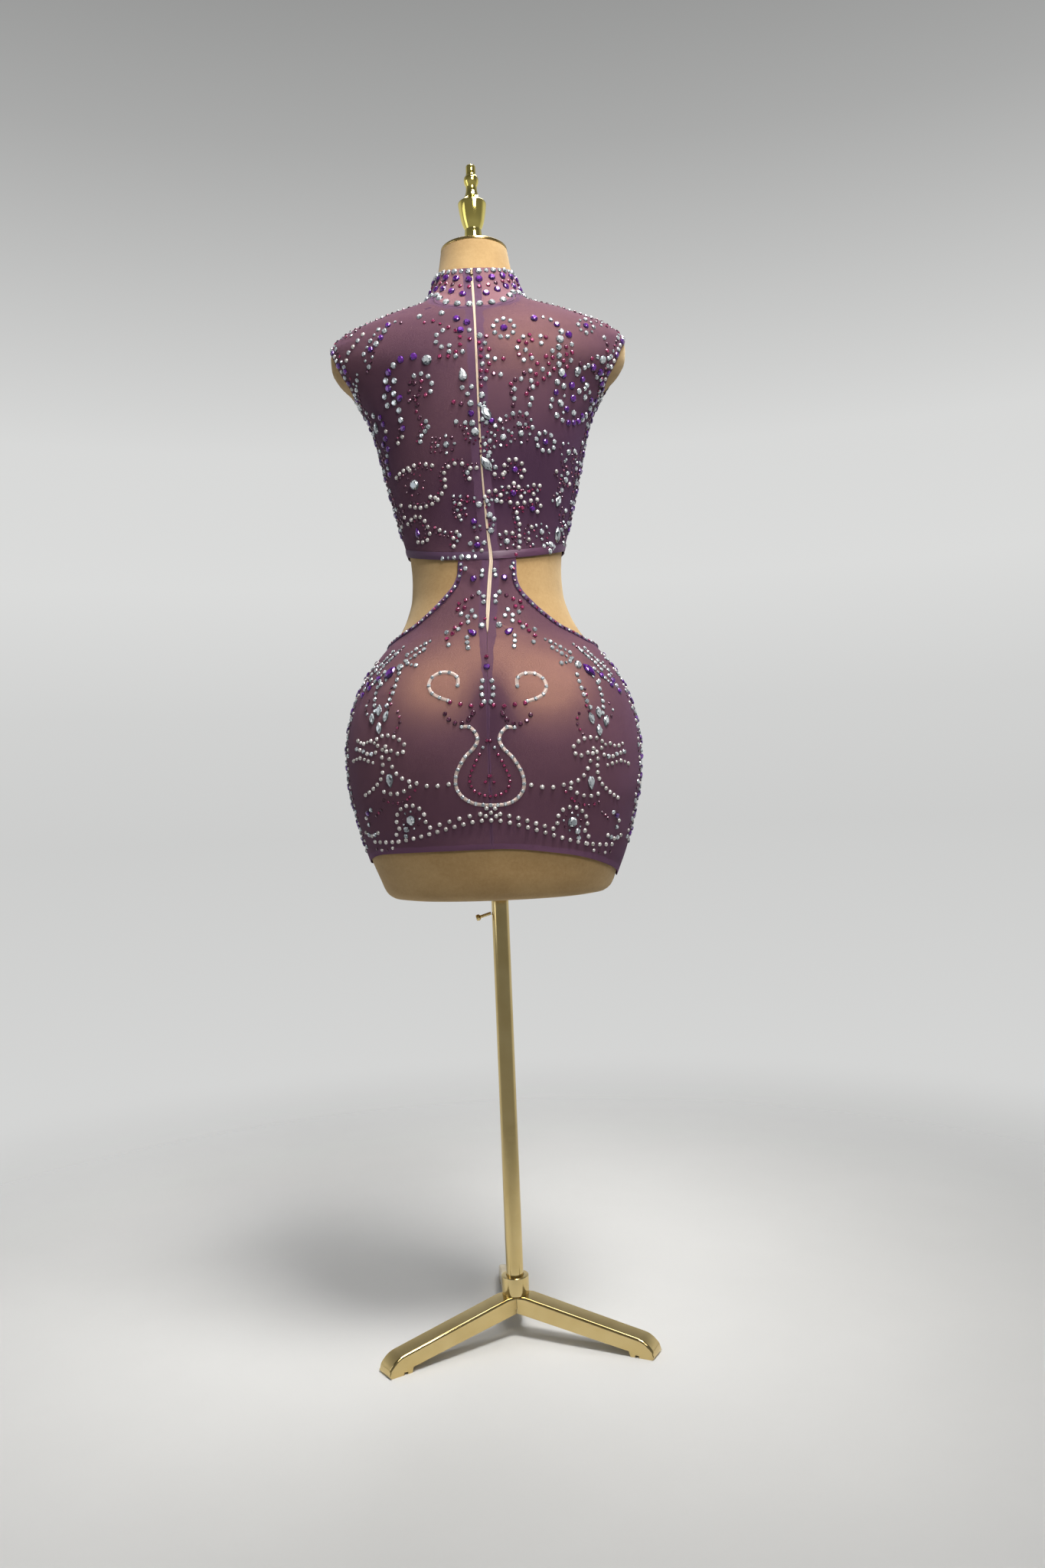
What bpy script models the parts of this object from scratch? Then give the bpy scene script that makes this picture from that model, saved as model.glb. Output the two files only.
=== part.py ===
"""A cut-out mini dress with a stand collar, worn by a limbless dress form on a three-legged stand.

Metres, +Z up. The back of the dress, with its zip, faces -Y. The form is a stack of half-ellipse rings,
and every piece of cloth is a thin wall whose points lie on that form, moved out along its normals.
Angles go round the pole from +X, the dress's right, through the front at a quarter turn.
"""

import math
from collections import namedtuple

import bmesh
import bpy
import numpy as np
from mathutils import Matrix, Vector

FRONT, LEFT, BACK, RIGHT = math.radians(90), math.radians(180), math.radians(270), math.radians(360)

Ring = namedtuple("Ring", "height half_width back front")
HemPoint = namedtuple("HemPoint", "degrees height")
CutoutPoint = namedtuple("CutoutPoint", "height half_width")
ZipPoint = namedtuple("ZipPoint", "height across half_width")
TurnedPoint = namedtuple("TurnedPoint", "radius height")
EdgeHeights = namedtuple("EdgeHeights", "side back front bend")
Look = namedtuple("Look", "colour roughness metallic")

# The form, from its flat bottom to the cut of its neck: each ring's height, half width and two depths.
FORM_RINGS = [Ring(*row) for row in (
    (0.5590, 0.1160, 0.0840, 0.0800),
    (0.5620, 0.1340, 0.1000, 0.0960),
    (0.5700, 0.1435, 0.1100, 0.1050),
    (0.5850, 0.1500, 0.1160, 0.1100),
    (0.6200, 0.1635, 0.1210, 0.1130),
    (0.6600, 0.1740, 0.1240, 0.1150),
    (0.7000, 0.1830, 0.1260, 0.1160),
    (0.7400, 0.1855, 0.1270, 0.1160),
    (0.7750, 0.1820, 0.1250, 0.1150),
    (0.8100, 0.1720, 0.1210, 0.1130),
    (0.8400, 0.1570, 0.1150, 0.1100),
    (0.8650, 0.1380, 0.1090, 0.1060),
    (0.8900, 0.1165, 0.1020, 0.1010),
    (0.9150, 0.1035, 0.0960, 0.0960),
    (0.9400, 0.0965, 0.0910, 0.0920),
    (0.9650, 0.0950, 0.0875, 0.0900),
    (0.9900, 0.0965, 0.0855, 0.0900),
    (1.0200, 0.1035, 0.0860, 0.0920),
    (1.0600, 0.1135, 0.0890, 0.0970),
    (1.1000, 0.1230, 0.0940, 0.1030),
    (1.1400, 0.1315, 0.0985, 0.1070),
    (1.1650, 0.1395, 0.1005, 0.1070),
    (1.1900, 0.1520, 0.1010, 0.1050),
    (1.2050, 0.1650, 0.1005, 0.1030),
    (1.2200, 0.1795, 0.0995, 0.1000),
    (1.2350, 0.1870, 0.0965, 0.0960),
    (1.2500, 0.1880, 0.0920, 0.0910),
    (1.2620, 0.1830, 0.0870, 0.0860),
    (1.2720, 0.1710, 0.0820, 0.0810),
    (1.2810, 0.1490, 0.0770, 0.0760),
    (1.2890, 0.1270, 0.0725, 0.0720),
    (1.2950, 0.1030, 0.0695, 0.0680),
    (1.3010, 0.0830, 0.0665, 0.0640),
    (1.3080, 0.0690, 0.0635, 0.0605),
    (1.3180, 0.0600, 0.0595, 0.0570),
    (1.3320, 0.0540, 0.0545, 0.0525),
    (1.3480, 0.0485, 0.0495, 0.0480),
    (1.3650, 0.0450, 0.0455, 0.0445),
    (1.3810, 0.0425, 0.0425, 0.0425),
)]
FORM_BOTTOM = FORM_RINGS[0].height
FORM_TOP = FORM_RINGS[-1].height
FORM_COLUMNS = 40
FORM_FLATNESS = 0.0006

# Soft rises on the form, a pair of each: across, height, how far they reach and how high they stand.
BUST = {"across": 0.064, "height": 1.130, "reach_across": 0.060, "reach_up": 0.065, "rise": 0.018}
SEAT = {"across": 0.072, "height": 0.745, "reach_across": 0.062, "reach_up": 0.075, "rise": 0.006}

# Cloth: the gap at a seam, how far cloth stands off what it lies on, and how thick it is.
SEAM_GAP = 0.0003
CLOTH_LIFT = 0.0015
WALL = 0.0011
DOUBLED_WALL = 0.0016
BINDING_WIDTH = 0.006
BINDING_GAP = 0.0005
BINDING_PIECES = 34

# The hem's height round the skirt; the dress has slipped down a little on its right.
HEM = [HemPoint(*row) for row in (
    (0, 0.580), (45, 0.590), (90, 0.599), (135, 0.603), (180, 0.608),
    (215, 0.6205), (270, 0.623), (300, 0.614), (330, 0.597), (360, 0.580),
)]
DRESS_TILT = 0.004

# The edge of the cloth between the two cut-outs at the back, from low at the side up to the bodice.
CUTOUT_SIDE_HEIGHT = 0.876
CUTOUT_EDGE = [CutoutPoint(*row) for row in (
    (0.8804, 0.1176), (0.8864, 0.1060), (0.8963, 0.0860), (0.9072, 0.0713), (0.9164, 0.0604),
    (0.9273, 0.0493), (0.9360, 0.0416), (0.9454, 0.0368), (0.9557, 0.0345), (0.9900, 0.0338),
)]
CUTOUT_PANEL_SHIFT = 0.0034
CUTOUT_FRONT_SHARE = 1.12
CUTOUT_STEPS = 60

# Level edges: their heights at the side, the back and the front, and how late they bend from side to middle.
BODICE_EDGE = EdgeHeights(side=0.996, back=0.971, front=0.984, bend=1.2)
NECKLINE = EdgeHeights(side=1.309, back=1.278, front=1.284, bend=6)
COLLAR_TOP = EdgeHeights(side=1.349, back=1.338, front=1.342, bend=2)
SHOULDER_TURN = EdgeHeights(side=1.276, back=1.262, front=1.265, bend=4)
BAND_HEIGHT = 0.010

ARMHOLE_CENTRE = 1.2265
ARMHOLE_HALF_HEIGHT = 0.031
ARMHOLE_REACH = math.radians(20)

# Rows of points in each section of a panel, from below: the skirt's up to each bend of the cut-out,
# the bodice's up to the armhole, through it, over the shoulder and on to the neck.
SKIRT_ROWS = (12, 3, 1, 2, 6)
BODICE_ROWS = (9, 8, 2, 7)
ARMHOLE_SECTION = 1
COLLAR_ROWS = (4,)
BAND_ROWS = (1,)
ZIP_ROWS = (30,)

# The zip's line down the back, and half its visible width.
ZIP_LINE = [ZipPoint(*row) for row in (
    (0.610, -0.0040, 0.0000),
    (0.760, -0.0030, 0.0000),
    (0.879, 0.0000, 0.0000),
    (0.886, 0.0004, 0.0012),
    (0.905, 0.0014, 0.0020),
    (0.930, 0.0035, 0.0022),
    (0.955, 0.0060, 0.0021),
    (0.972, 0.0075, 0.0020),
    (0.992, 0.0060, 0.0016),
    (1.035, 0.0030, 0.0010),
    (1.100, 0.0006, 0.0010),
    (1.240, 0.0000, 0.0012),
    (1.340, -0.0028, 0.0014),
)]
ZIP_END = 0.8805
ZIP_WALL = 0.0013
SLIDER = {"width": 0.0034, "length": 0.0080, "depth": 0.0022, "below_top": 0.004, "edge": 0.0006}

# The metal fittings. A turned profile runs from the axis at the top down the outer side to the axis below.
NECK_CAP = {"radius": 0.0425, "thickness": 0.004, "edge": 0.0012}
FINIAL_PROFILE = [TurnedPoint(*row) for row in (
    (0.0000, 0.1080), (0.0052, 0.1080), (0.0062, 0.1070), (0.0062, 0.0965), (0.0072, 0.0945),
    (0.0092, 0.0915), (0.0095, 0.0885), (0.0090, 0.0850), (0.0072, 0.0815), (0.0069, 0.0775),
    (0.0078, 0.0720), (0.0100, 0.0665), (0.0140, 0.0625), (0.0174, 0.0600), (0.0183, 0.0585),
    (0.0178, 0.0540), (0.0165, 0.0450), (0.0145, 0.0350), (0.0118, 0.0280), (0.0105, 0.0255),
    (0.0108, 0.0235), (0.0112, 0.0170), (0.0108, 0.0080), (0.0112, 0.0000), (0.0000, 0.0000),
)]
TURNED_STEPS = 20
TUBE_STEPS = 28
SCREW_STEPS = 14
POLE = {"radius": 0.0110, "bore": 0.0093, "edge": 0.0006}
ROD = {"radius": 0.0090, "bottom": 0.2000, "edge": 0.0008}
SOCKET_DEPTH = 0.1100
HUB = {"radius": 0.0175, "bore": 0.0116, "top": 0.0740, "edge": 0.0010}
LEG = {"reach": 0.190, "width": 0.028, "top": 0.0510, "flat": 0.020, "under": 0.0300, "edge": 0.0045,
       "edge_steps": 3}
LEG_TURNS = (94, 214, 334)
LEG_MITRE = math.radians(60)
LEG_TOE = {"bend": 0.178, "bend_height": 0.0215, "tip_height": 0.010, "heel": 0.158, "heel_height": 0.0065,
           "chamfer": 0.002}
LEG_NOTCH = {"start": 0.166, "end": 0.171, "height": 0.003}
THUMB_SCREW = {"height": 0.537, "droop": 17, "radius": 0.0020, "length": 0.0200, "knob_radius": 0.0040,
               "knob_length": 0.0050, "edge": 0.0008}
FACE_GAP = 0.0003
MERGE = 0.00002

LOOKS = {
    "mesh": Look((0.235, 0.105, 0.135), 0.75, 0.0),
    "doubled_mesh": Look((0.130, 0.055, 0.165), 0.70, 0.0),
    "binding": Look((0.085, 0.030, 0.110), 0.65, 0.0),
    "zip_tape": Look((0.690, 0.560, 0.400), 0.80, 0.0),
    "suede": Look((0.480, 0.290, 0.125), 0.95, 0.0),
    "brass": Look((0.760, 0.560, 0.250), 0.25, 1.0),
    "polished_brass": Look((0.860, 0.660, 0.230), 0.10, 1.0),
}


def smooth_column(rows, column, at):
    """A column of a table read anywhere along its first one, as a curve that never overshoots its rows."""
    xs = np.array([row[0] for row in rows], float)
    ys = np.array([getattr(row, column) for row in rows], float)
    at = np.clip(np.asarray(at, float), xs[0], xs[-1])
    steps = np.diff(xs)
    slopes = np.diff(ys) / steps
    same_way = slopes[:-1] * slopes[1:] > 0
    safe = np.where(same_way, slopes[:-1] + slopes[1:], 1.0)
    inner = np.where(same_way, 2 * slopes[:-1] * slopes[1:] / safe, 0.0)
    tangents = np.concatenate([[slopes[0]], inner, [slopes[-1]]])
    row = np.clip(np.searchsorted(xs, at, side="right") - 1, 0, len(steps) - 1)
    step = steps[row]
    t = (at - xs[row]) / step
    start = (1 + 2 * t) * (1 - t) ** 2 * ys[row] + t * (1 - t) ** 2 * step * tangents[row]
    end = t**2 * (3 - 2 * t) * ys[row + 1] - t**2 * (1 - t) * step * tangents[row + 1]
    return start + end


def rise_of(pair, x, z):
    """How far a pair of soft rises lifts the form at a place on it."""
    across = (np.abs(x) - pair["across"]) / pair["reach_across"]
    up = (z - pair["height"]) / pair["reach_up"]
    return pair["rise"] * np.exp(-(across**2) - up**2)


def form_point(angle, height):
    """The point of the form's surface at an angle about the pole and a height."""
    half_width = smooth_column(FORM_RINGS, "half_width", height)
    back = smooth_column(FORM_RINGS, "back", height)
    front = smooth_column(FORM_RINGS, "front", height)
    x = half_width * np.cos(angle)
    facing = np.sin(angle)
    y = np.where(facing > 0, front, back) * facing
    y = y + rise_of(BUST, x, height) * np.clip(facing, 0, 1)
    y = y + rise_of(SEAT, x, height) * np.clip(facing, -1, 0)
    return np.stack(np.broadcast_arrays(x, y, height), axis=-1)


def form_slopes(angle, height):
    """How the surface point moves with the angle and with the height."""
    turn = 0.002
    climb = 0.0006
    by_angle = (form_point(angle + turn, height) - form_point(angle - turn, height)) / (2 * turn)
    low = np.clip(height - climb, FORM_BOTTOM, FORM_TOP)
    high = np.clip(height + climb, FORM_BOTTOM, FORM_TOP)
    by_height = (form_point(angle, high) - form_point(angle, low)) / (high - low)[..., None]
    return by_angle, by_height


def form_normal(angle, height):
    by_angle, by_height = form_slopes(angle, height)
    normal = np.cross(by_angle, by_height)
    return normal / np.linalg.norm(normal, axis=-1, keepdims=True)


def lifted_point(angle, height, lift):
    return form_point(angle, height) + form_normal(angle, height) * lift


def make_side_profile():
    """Heights against the length of the form's side, so that rows of cloth come evenly over the shoulder."""
    heights = np.linspace(FORM_BOTTOM, FORM_TOP, 400)
    widths = smooth_column(FORM_RINGS, "half_width", heights)
    lengths = np.concatenate([[0], np.cumsum(np.hypot(np.diff(widths), np.diff(heights)))])
    return heights, lengths


SIDE_HEIGHTS, SIDE_LENGTHS = make_side_profile()


def height_between(low, high, share):
    """The height a share of the way along the side from one height to another."""
    start = np.interp(low, SIDE_HEIGHTS, SIDE_LENGTHS)
    end = np.interp(high, SIDE_HEIGHTS, SIDE_LENGTHS)
    return np.interp(start + (end - start) * share, SIDE_LENGTHS, SIDE_HEIGHTS)


def angle_at(x, height, at_back):
    """The angle at which the form's ring passes a place across it, on its back or its front."""
    half_width = smooth_column(FORM_RINGS, "half_width", height)
    turn = np.arccos(np.clip(x / half_width, -1, 1))
    return 2 * math.pi - turn if at_back else turn


def edge_height(levels, angle):
    """The height of a level edge that has its own height at the side, the back and the front."""
    facing = np.sin(angle)
    middle = np.where(facing > 0, levels.front, levels.back)
    return levels.side + (middle - levels.side) * np.abs(facing) ** levels.bend


def hem_height(angle):
    return smooth_column(HEM, "height", np.degrees(angle) % 360)


def zip_across(height):
    return smooth_column(ZIP_LINE, "across", height)


def zip_half_width(height):
    return np.interp(height, [row.height for row in ZIP_LINE], [row.half_width for row in ZIP_LINE])


def seam_half_gap(height):
    """Half the distance between the two back panels: the seam's, or the zip's with a seam at each side."""
    half = zip_half_width(height)
    return np.where(half > 0, half + SEAM_GAP, SEAM_GAP / 2)


def centre_back(side):
    """The centre-back edge of the panel on one side: -1 is the left, +1 the right."""
    return lambda height: angle_at(zip_across(height) + side * seam_half_gap(height), height, True)


def side_seam(at, turn):
    """A side edge at one of the form's sides, half a seam's gap away in the direction of turn."""
    return lambda height: at + turn * SEAM_GAP / 2 / smooth_column(FORM_RINGS, "back", height)


def armhole_edge(at, turn):
    """A bodice panel's side edge: the side seam, the armhole and the shoulder seam in one."""
    seam = side_seam(at, turn)

    def edge(height):
        share = np.clip(1 - ((height - ARMHOLE_CENTRE) / ARMHOLE_HALF_HEIGHT) ** 2, 0, 1)
        return seam(height) + turn * ARMHOLE_REACH * np.sqrt(share)

    return edge


def side_start(side, at_back):
    """Where a back or front panel of the skirt starts at one side, and which way round it goes from there."""
    if side < 0:
        return LEFT, 1 if at_back else -1
    return (RIGHT, -1) if at_back else (0.0, 1)


def cutout_curve(side, at_back):
    """The cut-out's edge as angles and heights, from the side up to the bodice: side -1 is left, +1 right."""
    at, turn = side_start(side, at_back)
    bottom, top = CUTOUT_EDGE[0].height, CUTOUT_EDGE[-1].height
    heights = np.linspace(bottom, top, CUTOUT_STEPS)
    climbed = (heights - bottom) / (top - bottom)
    wider = 1.0 if at_back else 1 + (CUTOUT_FRONT_SHARE - 1) * climbed
    across = side * smooth_column(CUTOUT_EDGE, "half_width", heights) * wider + CUTOUT_PANEL_SHIFT * climbed
    heights = heights - side * DRESS_TILT
    low = CUTOUT_SIDE_HEIGHT - side * DRESS_TILT
    first = side_seam(at, turn)(low)
    return np.concatenate([[first], angle_at(across, heights, at_back)]), np.concatenate([[low], heights])


def skirt_edge(side, at_back):
    """A skirt panel's side edge: the side seam up to the cut-out's lowest point, then the cut-out's edge."""
    angles, heights = cutout_curve(side, at_back)
    seam = side_seam(*side_start(side, at_back))
    return lambda height: np.where(height <= heights[0], seam(height), np.interp(height, heights, angles))


def section_shares(count, rounded):
    """How far up a section each of its rows is: evenly, or closer together at both ends."""
    even = np.linspace(0, 1, count + 1)
    return (1 - np.cos(math.pi * even)) / 2 if rounded else even


def panel_grid(span, edges, levels, rows, columns, rounded_section=None):
    """Angles and heights of a panel's points, between two side edges and through a list of levels.

    A side edge gives its angle at a height and a level its height at an angle, so a few passes settle both.
    """
    passes = 6
    shares = np.linspace(0, 1, columns + 1)
    angles = np.tile(span[0] + (span[1] - span[0]) * shares, (sum(rows) + 1, 1))
    for _ in range(passes):
        heights = np.empty_like(angles)
        done = 0
        for section, (low, high, count) in enumerate(zip(levels[:-1], levels[1:], rows)):
            for step, share in enumerate(section_shares(count, section == rounded_section)):
                row = angles[done + step]
                heights[done + step] = height_between(low(row), high(row), share)
            done += count
        first, last = edges[0](heights), edges[1](heights)
        angles = first + (last - first) * shares
    return angles, heights


def level(value):
    return lambda angles: np.full(np.shape(angles), float(value))


def tilted_level(value):
    """A level that follows the dress's tilt from its left side down to its right."""
    return lambda angles: value - DRESS_TILT * np.cos(angles)


def edge_level(levels, shift=0.0):
    return lambda angles: edge_height(levels, angles) + shift


def new_material(name):
    look = LOOKS[name]
    material = bpy.data.materials.new(name)
    material.use_nodes = True
    shader = material.node_tree.nodes["Principled BSDF"]
    shader.inputs["Base Color"].default_value = (*look.colour, 1.0)
    shader.inputs["Roughness"].default_value = look.roughness
    shader.inputs["Metallic"].default_value = look.metallic
    material.diffuse_color = (*look.colour, 1.0)
    return material


def add_object(name, mesh, material, place=(0.0, 0.0, 0.0)):
    """An object in the model's collection, standing on the pole's axis unless its place says otherwise."""
    mesh.materials.clear()
    mesh.materials.append(MATERIALS[material])
    obj = bpy.data.objects.new(name, mesh)
    obj.location = place
    obj.parent = AXIS
    COLLECTION.objects.link(obj)
    return obj


def mesh_from(name, bm, sharp_degrees=40):
    """The finished mesh, its faces turned outwards."""
    if bm.calc_volume(signed=True) < 0:
        bmesh.ops.reverse_faces(bm, faces=bm.faces)
    mesh = bpy.data.meshes.new(name)
    bm.to_mesh(mesh)
    bm.free()
    mesh.shade_smooth()
    mesh.set_sharp_from_angle(angle=math.radians(sharp_degrees))
    return mesh


def wall_mesh(name, inner, outer):
    """A closed wall between two grids of points of the same size."""
    bm = bmesh.new()
    columns = inner.shape[1]
    sheets = [[[bm.verts.new(point) for point in row] for row in sheet] for sheet in (inner, outer)]
    for sheet, turned in zip(sheets, (-1, 1)):
        for row, above in zip(sheet[:-1], sheet[1:]):
            for i in range(columns - 1):
                bm.faces.new((row[i], row[i + 1], above[i + 1], above[i])[::turned])
    rims = []
    for sheet in sheets:
        right = [row[-1] for row in sheet]
        left = [row[0] for row in sheet[::-1]]
        rims.append(sheet[0][:-1] + right[:-1] + sheet[-1][::-1][:-1] + left[:-1])
    for i in range(len(rims[0])):
        j = (i + 1) % len(rims[0])
        bm.faces.new((rims[0][i], rims[0][j], rims[1][j], rims[1][i]))
    return mesh_from(name, bm, sharp_degrees=50)


def add_cloth(name, grid, lift, wall, material):
    """A piece of cloth: its points lie on the form, and its two faces are moved out from there."""
    angles, heights = grid
    inner = lifted_point(angles, heights, lift)
    outer = lifted_point(angles, heights, lift + wall)
    return add_object(name, wall_mesh(name, inner, outer), material)


def add_skirt():
    quarter = FORM_COLUMNS // 4
    top = edge_level(BODICE_EDGE, -SEAM_GAP)
    bends = (CUTOUT_SIDE_HEIGHT, CUTOUT_EDGE[0].height, CUTOUT_EDGE[1].height, CUTOUT_EDGE[2].height)
    panels = (
        ("skirt_back_left", (LEFT, BACK), (skirt_edge(-1, True), centre_back(-1)),
         [level(height + DRESS_TILT) for height in bends], quarter),
        ("skirt_back_right", (BACK, RIGHT), (centre_back(1), skirt_edge(1, True)),
         [level(height - DRESS_TILT) for height in bends], quarter),
        ("skirt_front", (0.0, LEFT), (skirt_edge(1, False), skirt_edge(-1, False)),
         [tilted_level(height) for height in bends], 2 * quarter),
    )
    for name, span, edges, turning, columns in panels:
        grid = panel_grid(span, edges, (hem_height, *turning, top), SKIRT_ROWS, columns)
        add_cloth(name, grid, CLOTH_LIFT, WALL, "mesh")


def add_bodice():
    quarter = FORM_COLUMNS // 4
    levels = (
        edge_level(BODICE_EDGE, BAND_HEIGHT + SEAM_GAP),
        level(ARMHOLE_CENTRE - ARMHOLE_HALF_HEIGHT),
        level(ARMHOLE_CENTRE + ARMHOLE_HALF_HEIGHT),
        edge_level(SHOULDER_TURN),
        edge_level(NECKLINE),
    )
    panels = (
        ("bodice_front", (0.0, LEFT), (armhole_edge(0.0, 1), armhole_edge(LEFT, -1)), 2 * quarter),
        ("bodice_back_left", (LEFT, BACK), (armhole_edge(LEFT, 1), centre_back(-1)), quarter),
        ("bodice_back_right", (BACK, RIGHT), (centre_back(1), armhole_edge(RIGHT, -1)), quarter),
    )
    for name, span, edges, columns in panels:
        grid = panel_grid(span, edges, levels, BODICE_ROWS, columns, ARMHOLE_SECTION)
        add_cloth(name, grid, CLOTH_LIFT, WALL, "mesh")


def add_ring_of_cloth(name, low, high, rows, wall):
    """A strip that runs once round the form, from the right side of the zip to its left."""
    edges = (lambda height: centre_back(1)(height) - 2 * math.pi, centre_back(-1))
    grid = panel_grid((BACK - 2 * math.pi, BACK), edges, (low, high), rows, FORM_COLUMNS)
    add_cloth(name, grid, CLOTH_LIFT, wall, "doubled_mesh")


def add_collar():
    add_ring_of_cloth("collar", edge_level(NECKLINE, SEAM_GAP), edge_level(COLLAR_TOP), COLLAR_ROWS, WALL)


def add_bodice_band():
    low, high = edge_level(BODICE_EDGE), edge_level(BODICE_EDGE, BAND_HEIGHT)
    add_ring_of_cloth("bodice_band", low, high, BAND_ROWS, DOUBLED_WALL)


def binding_path(side):
    """One cut-out's edge from the bodice's back round the side to its front, in even steps."""
    back_angles, back_heights = cutout_curve(side, True)
    front_angles, front_heights = cutout_curve(side, False)
    if side > 0:
        back_angles = back_angles - 2 * math.pi
    below_bodice = 3 * SEAM_GAP
    keep_back = back_heights < BODICE_EDGE.back - below_bodice
    keep_front = front_heights < BODICE_EDGE.front - below_bodice
    angles = np.concatenate([back_angles[keep_back][::-1], front_angles[keep_front]])
    heights = np.concatenate([back_heights[keep_back][::-1], front_heights[keep_front]])
    points = form_point(angles, heights)
    lengths = np.concatenate([[0], np.cumsum(np.linalg.norm(np.diff(points, axis=0), axis=1))])
    even = np.linspace(0, lengths[-1], BINDING_PIECES + 1)
    return np.interp(even, lengths, angles), np.interp(even, lengths, heights)


def add_binding(name, side):
    """A strip sewn on the skirt's edge along one cut-out."""
    angles, heights = binding_path(side)
    forward = np.gradient(form_point(angles, heights), axis=0)
    inward = side * np.cross(forward, form_normal(angles, heights))
    inward = inward / np.linalg.norm(inward, axis=1, keepdims=True)
    moves = []
    for by_angle, by_height, push in zip(*form_slopes(angles, heights), inward * BINDING_WIDTH):
        slopes = np.stack([by_angle, by_height], axis=1)
        moves.append(np.linalg.lstsq(slopes, push, rcond=None)[0])
    moves = np.array(moves)
    grid = (np.array([angles, angles + moves[:, 0]]), np.array([heights, heights + moves[:, 1]]))
    add_cloth(name, grid, CLOTH_LIFT + WALL + BINDING_GAP, WALL, "binding")


def add_zip():
    top = float(edge_height(COLLAR_TOP, BACK))
    edges = (lambda height: angle_at(zip_across(height) - zip_half_width(height), height, True),
             lambda height: angle_at(zip_across(height) + zip_half_width(height), height, True))
    grid = panel_grid((BACK, BACK), edges, (level(ZIP_END), level(top)), ZIP_ROWS, 1)
    add_cloth("zip", grid, CLOTH_LIFT, ZIP_WALL, "zip_tape")
    height = np.asarray(top - SLIDER["below_top"] - SLIDER["length"] / 2)
    angle = angle_at(zip_across(height), height, True)
    place = lifted_point(angle, height, CLOTH_LIFT + ZIP_WALL + FACE_GAP + SLIDER["depth"] / 2)
    bm = bmesh.new()
    sizes = Matrix.Diagonal((SLIDER["width"], SLIDER["depth"], SLIDER["length"], 1.0))
    bmesh.ops.create_cube(bm, size=1.0, matrix=sizes)
    slider = add_object("zip_slider", mesh_from("zip_slider", bm), "brass", tuple(place))
    by_height = form_slopes(angle, height)[1]
    slider.rotation_euler.x = -math.atan2(float(by_height[1]), float(by_height[2]))
    bevel = slider.modifiers.new("Rounded", "BEVEL")
    bevel.width = SLIDER["edge"]
    bevel.segments = 1


def ring_heights():
    """The heights of the form's rings: those of the table, and more between them where the outline bends."""
    heights = [row.height for row in FORM_RINGS]
    around = np.array([0.0, FRONT, BACK])
    added = True
    while added:
        added = False
        for low, high in list(zip(heights[:-1], heights[1:])):
            halfway = (low + high) / 2
            start, middle, end = (form_point(around, np.full(3, height)) for height in (low, halfway, high))
            chord = end - start
            off = np.linalg.norm(np.cross(middle - start, chord), axis=1) / np.linalg.norm(chord, axis=1)
            if off.max() > FORM_FLATNESS:
                heights.append(halfway)
                added = True
        heights.sort()
    return heights


def add_form():
    """The form as one closed body, with a socket below for the rod."""
    bm = bmesh.new()
    angles = np.linspace(0, 2 * math.pi, FORM_COLUMNS, endpoint=False)
    rings = [form_point(angles, np.full(angles.shape, height)) for height in ring_heights()]
    bore = POLE["bore"]
    for height in (FORM_BOTTOM, FORM_BOTTOM + SOCKET_DEPTH):
        circle = (bore * np.cos(angles), bore * np.sin(angles), np.full(angles.shape, height))
        rings.insert(0, np.stack(circle, axis=-1))
    rows = [[bm.verts.new(point) for point in ring] for ring in rings]
    for row, above in zip(rows[:-1], rows[1:]):
        for i in range(FORM_COLUMNS):
            j = (i + 1) % FORM_COLUMNS
            bm.faces.new((row[i], row[j], above[j], above[i]))
    bm.faces.new(rows[0][::-1])
    bm.faces.new(rows[-1])
    add_object("form_torso", mesh_from("form_torso", bm), "suede")


def turn_profile(obj, steps):
    screw = obj.modifiers.new("Turned", "SCREW")
    screw.steps = screw.render_steps = steps
    screw.use_merge_vertices = True
    screw.merge_threshold = MERGE
    screw.use_smooth_shade = True


def add_turned(name, profile, material, base, steps=TURNED_STEPS):
    """A turned solid, whose profile starts and ends on the axis."""
    mesh = bpy.data.meshes.new(name)
    points = [(radius, 0.0, height) for radius, height in profile]
    mesh.from_pydata(points, [(i, i + 1) for i in range(len(points) - 1)], [])
    obj = add_object(name, mesh, material, (0.0, 0.0, base))
    turn_profile(obj, steps)
    return obj


def add_tube(name, size, bottom, top):
    """A turned ring or tube, whose closed profile never meets the axis."""
    radius, bore, edge = size["radius"], size["bore"], size["edge"]
    profile = ((bore, top), (radius - edge, top), (radius, top - edge), (radius, bottom), (bore, bottom))
    mesh = bpy.data.meshes.new(name)
    points = [(reach, 0.0, height) for reach, height in profile]
    mesh.from_pydata(points, [(i, (i + 1) % len(points)) for i in range(len(points))], [])
    turn_profile(add_object(name, mesh, "brass"), TUBE_STEPS)


def add_neck_fittings():
    radius, thickness, edge = NECK_CAP["radius"], NECK_CAP["thickness"], NECK_CAP["edge"]
    profile = ((0, thickness), (radius - edge, thickness), (radius, thickness - edge), (radius, edge),
               (radius - edge, 0), (0, 0))
    add_turned("neck_cap", profile, "polished_brass", FORM_TOP + FACE_GAP, FORM_COLUMNS)
    add_turned("finial", FINIAL_PROFILE, "polished_brass", FORM_TOP + 2 * FACE_GAP + thickness)


def add_column():
    hub_bottom = LEG["top"] + FACE_GAP
    add_tube("pole", POLE, hub_bottom, FORM_BOTTOM - FACE_GAP)
    add_tube("hub_ring", HUB, hub_bottom, HUB["top"])
    radius, bottom, edge = ROD["radius"], ROD["bottom"], ROD["edge"]
    top = FORM_BOTTOM + SOCKET_DEPTH - FACE_GAP
    profile = ((0, top), (radius - edge, top), (radius, top - edge), (radius, bottom), (0, bottom))
    add_turned("inner_rod", profile, "brass", 0.0)


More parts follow.
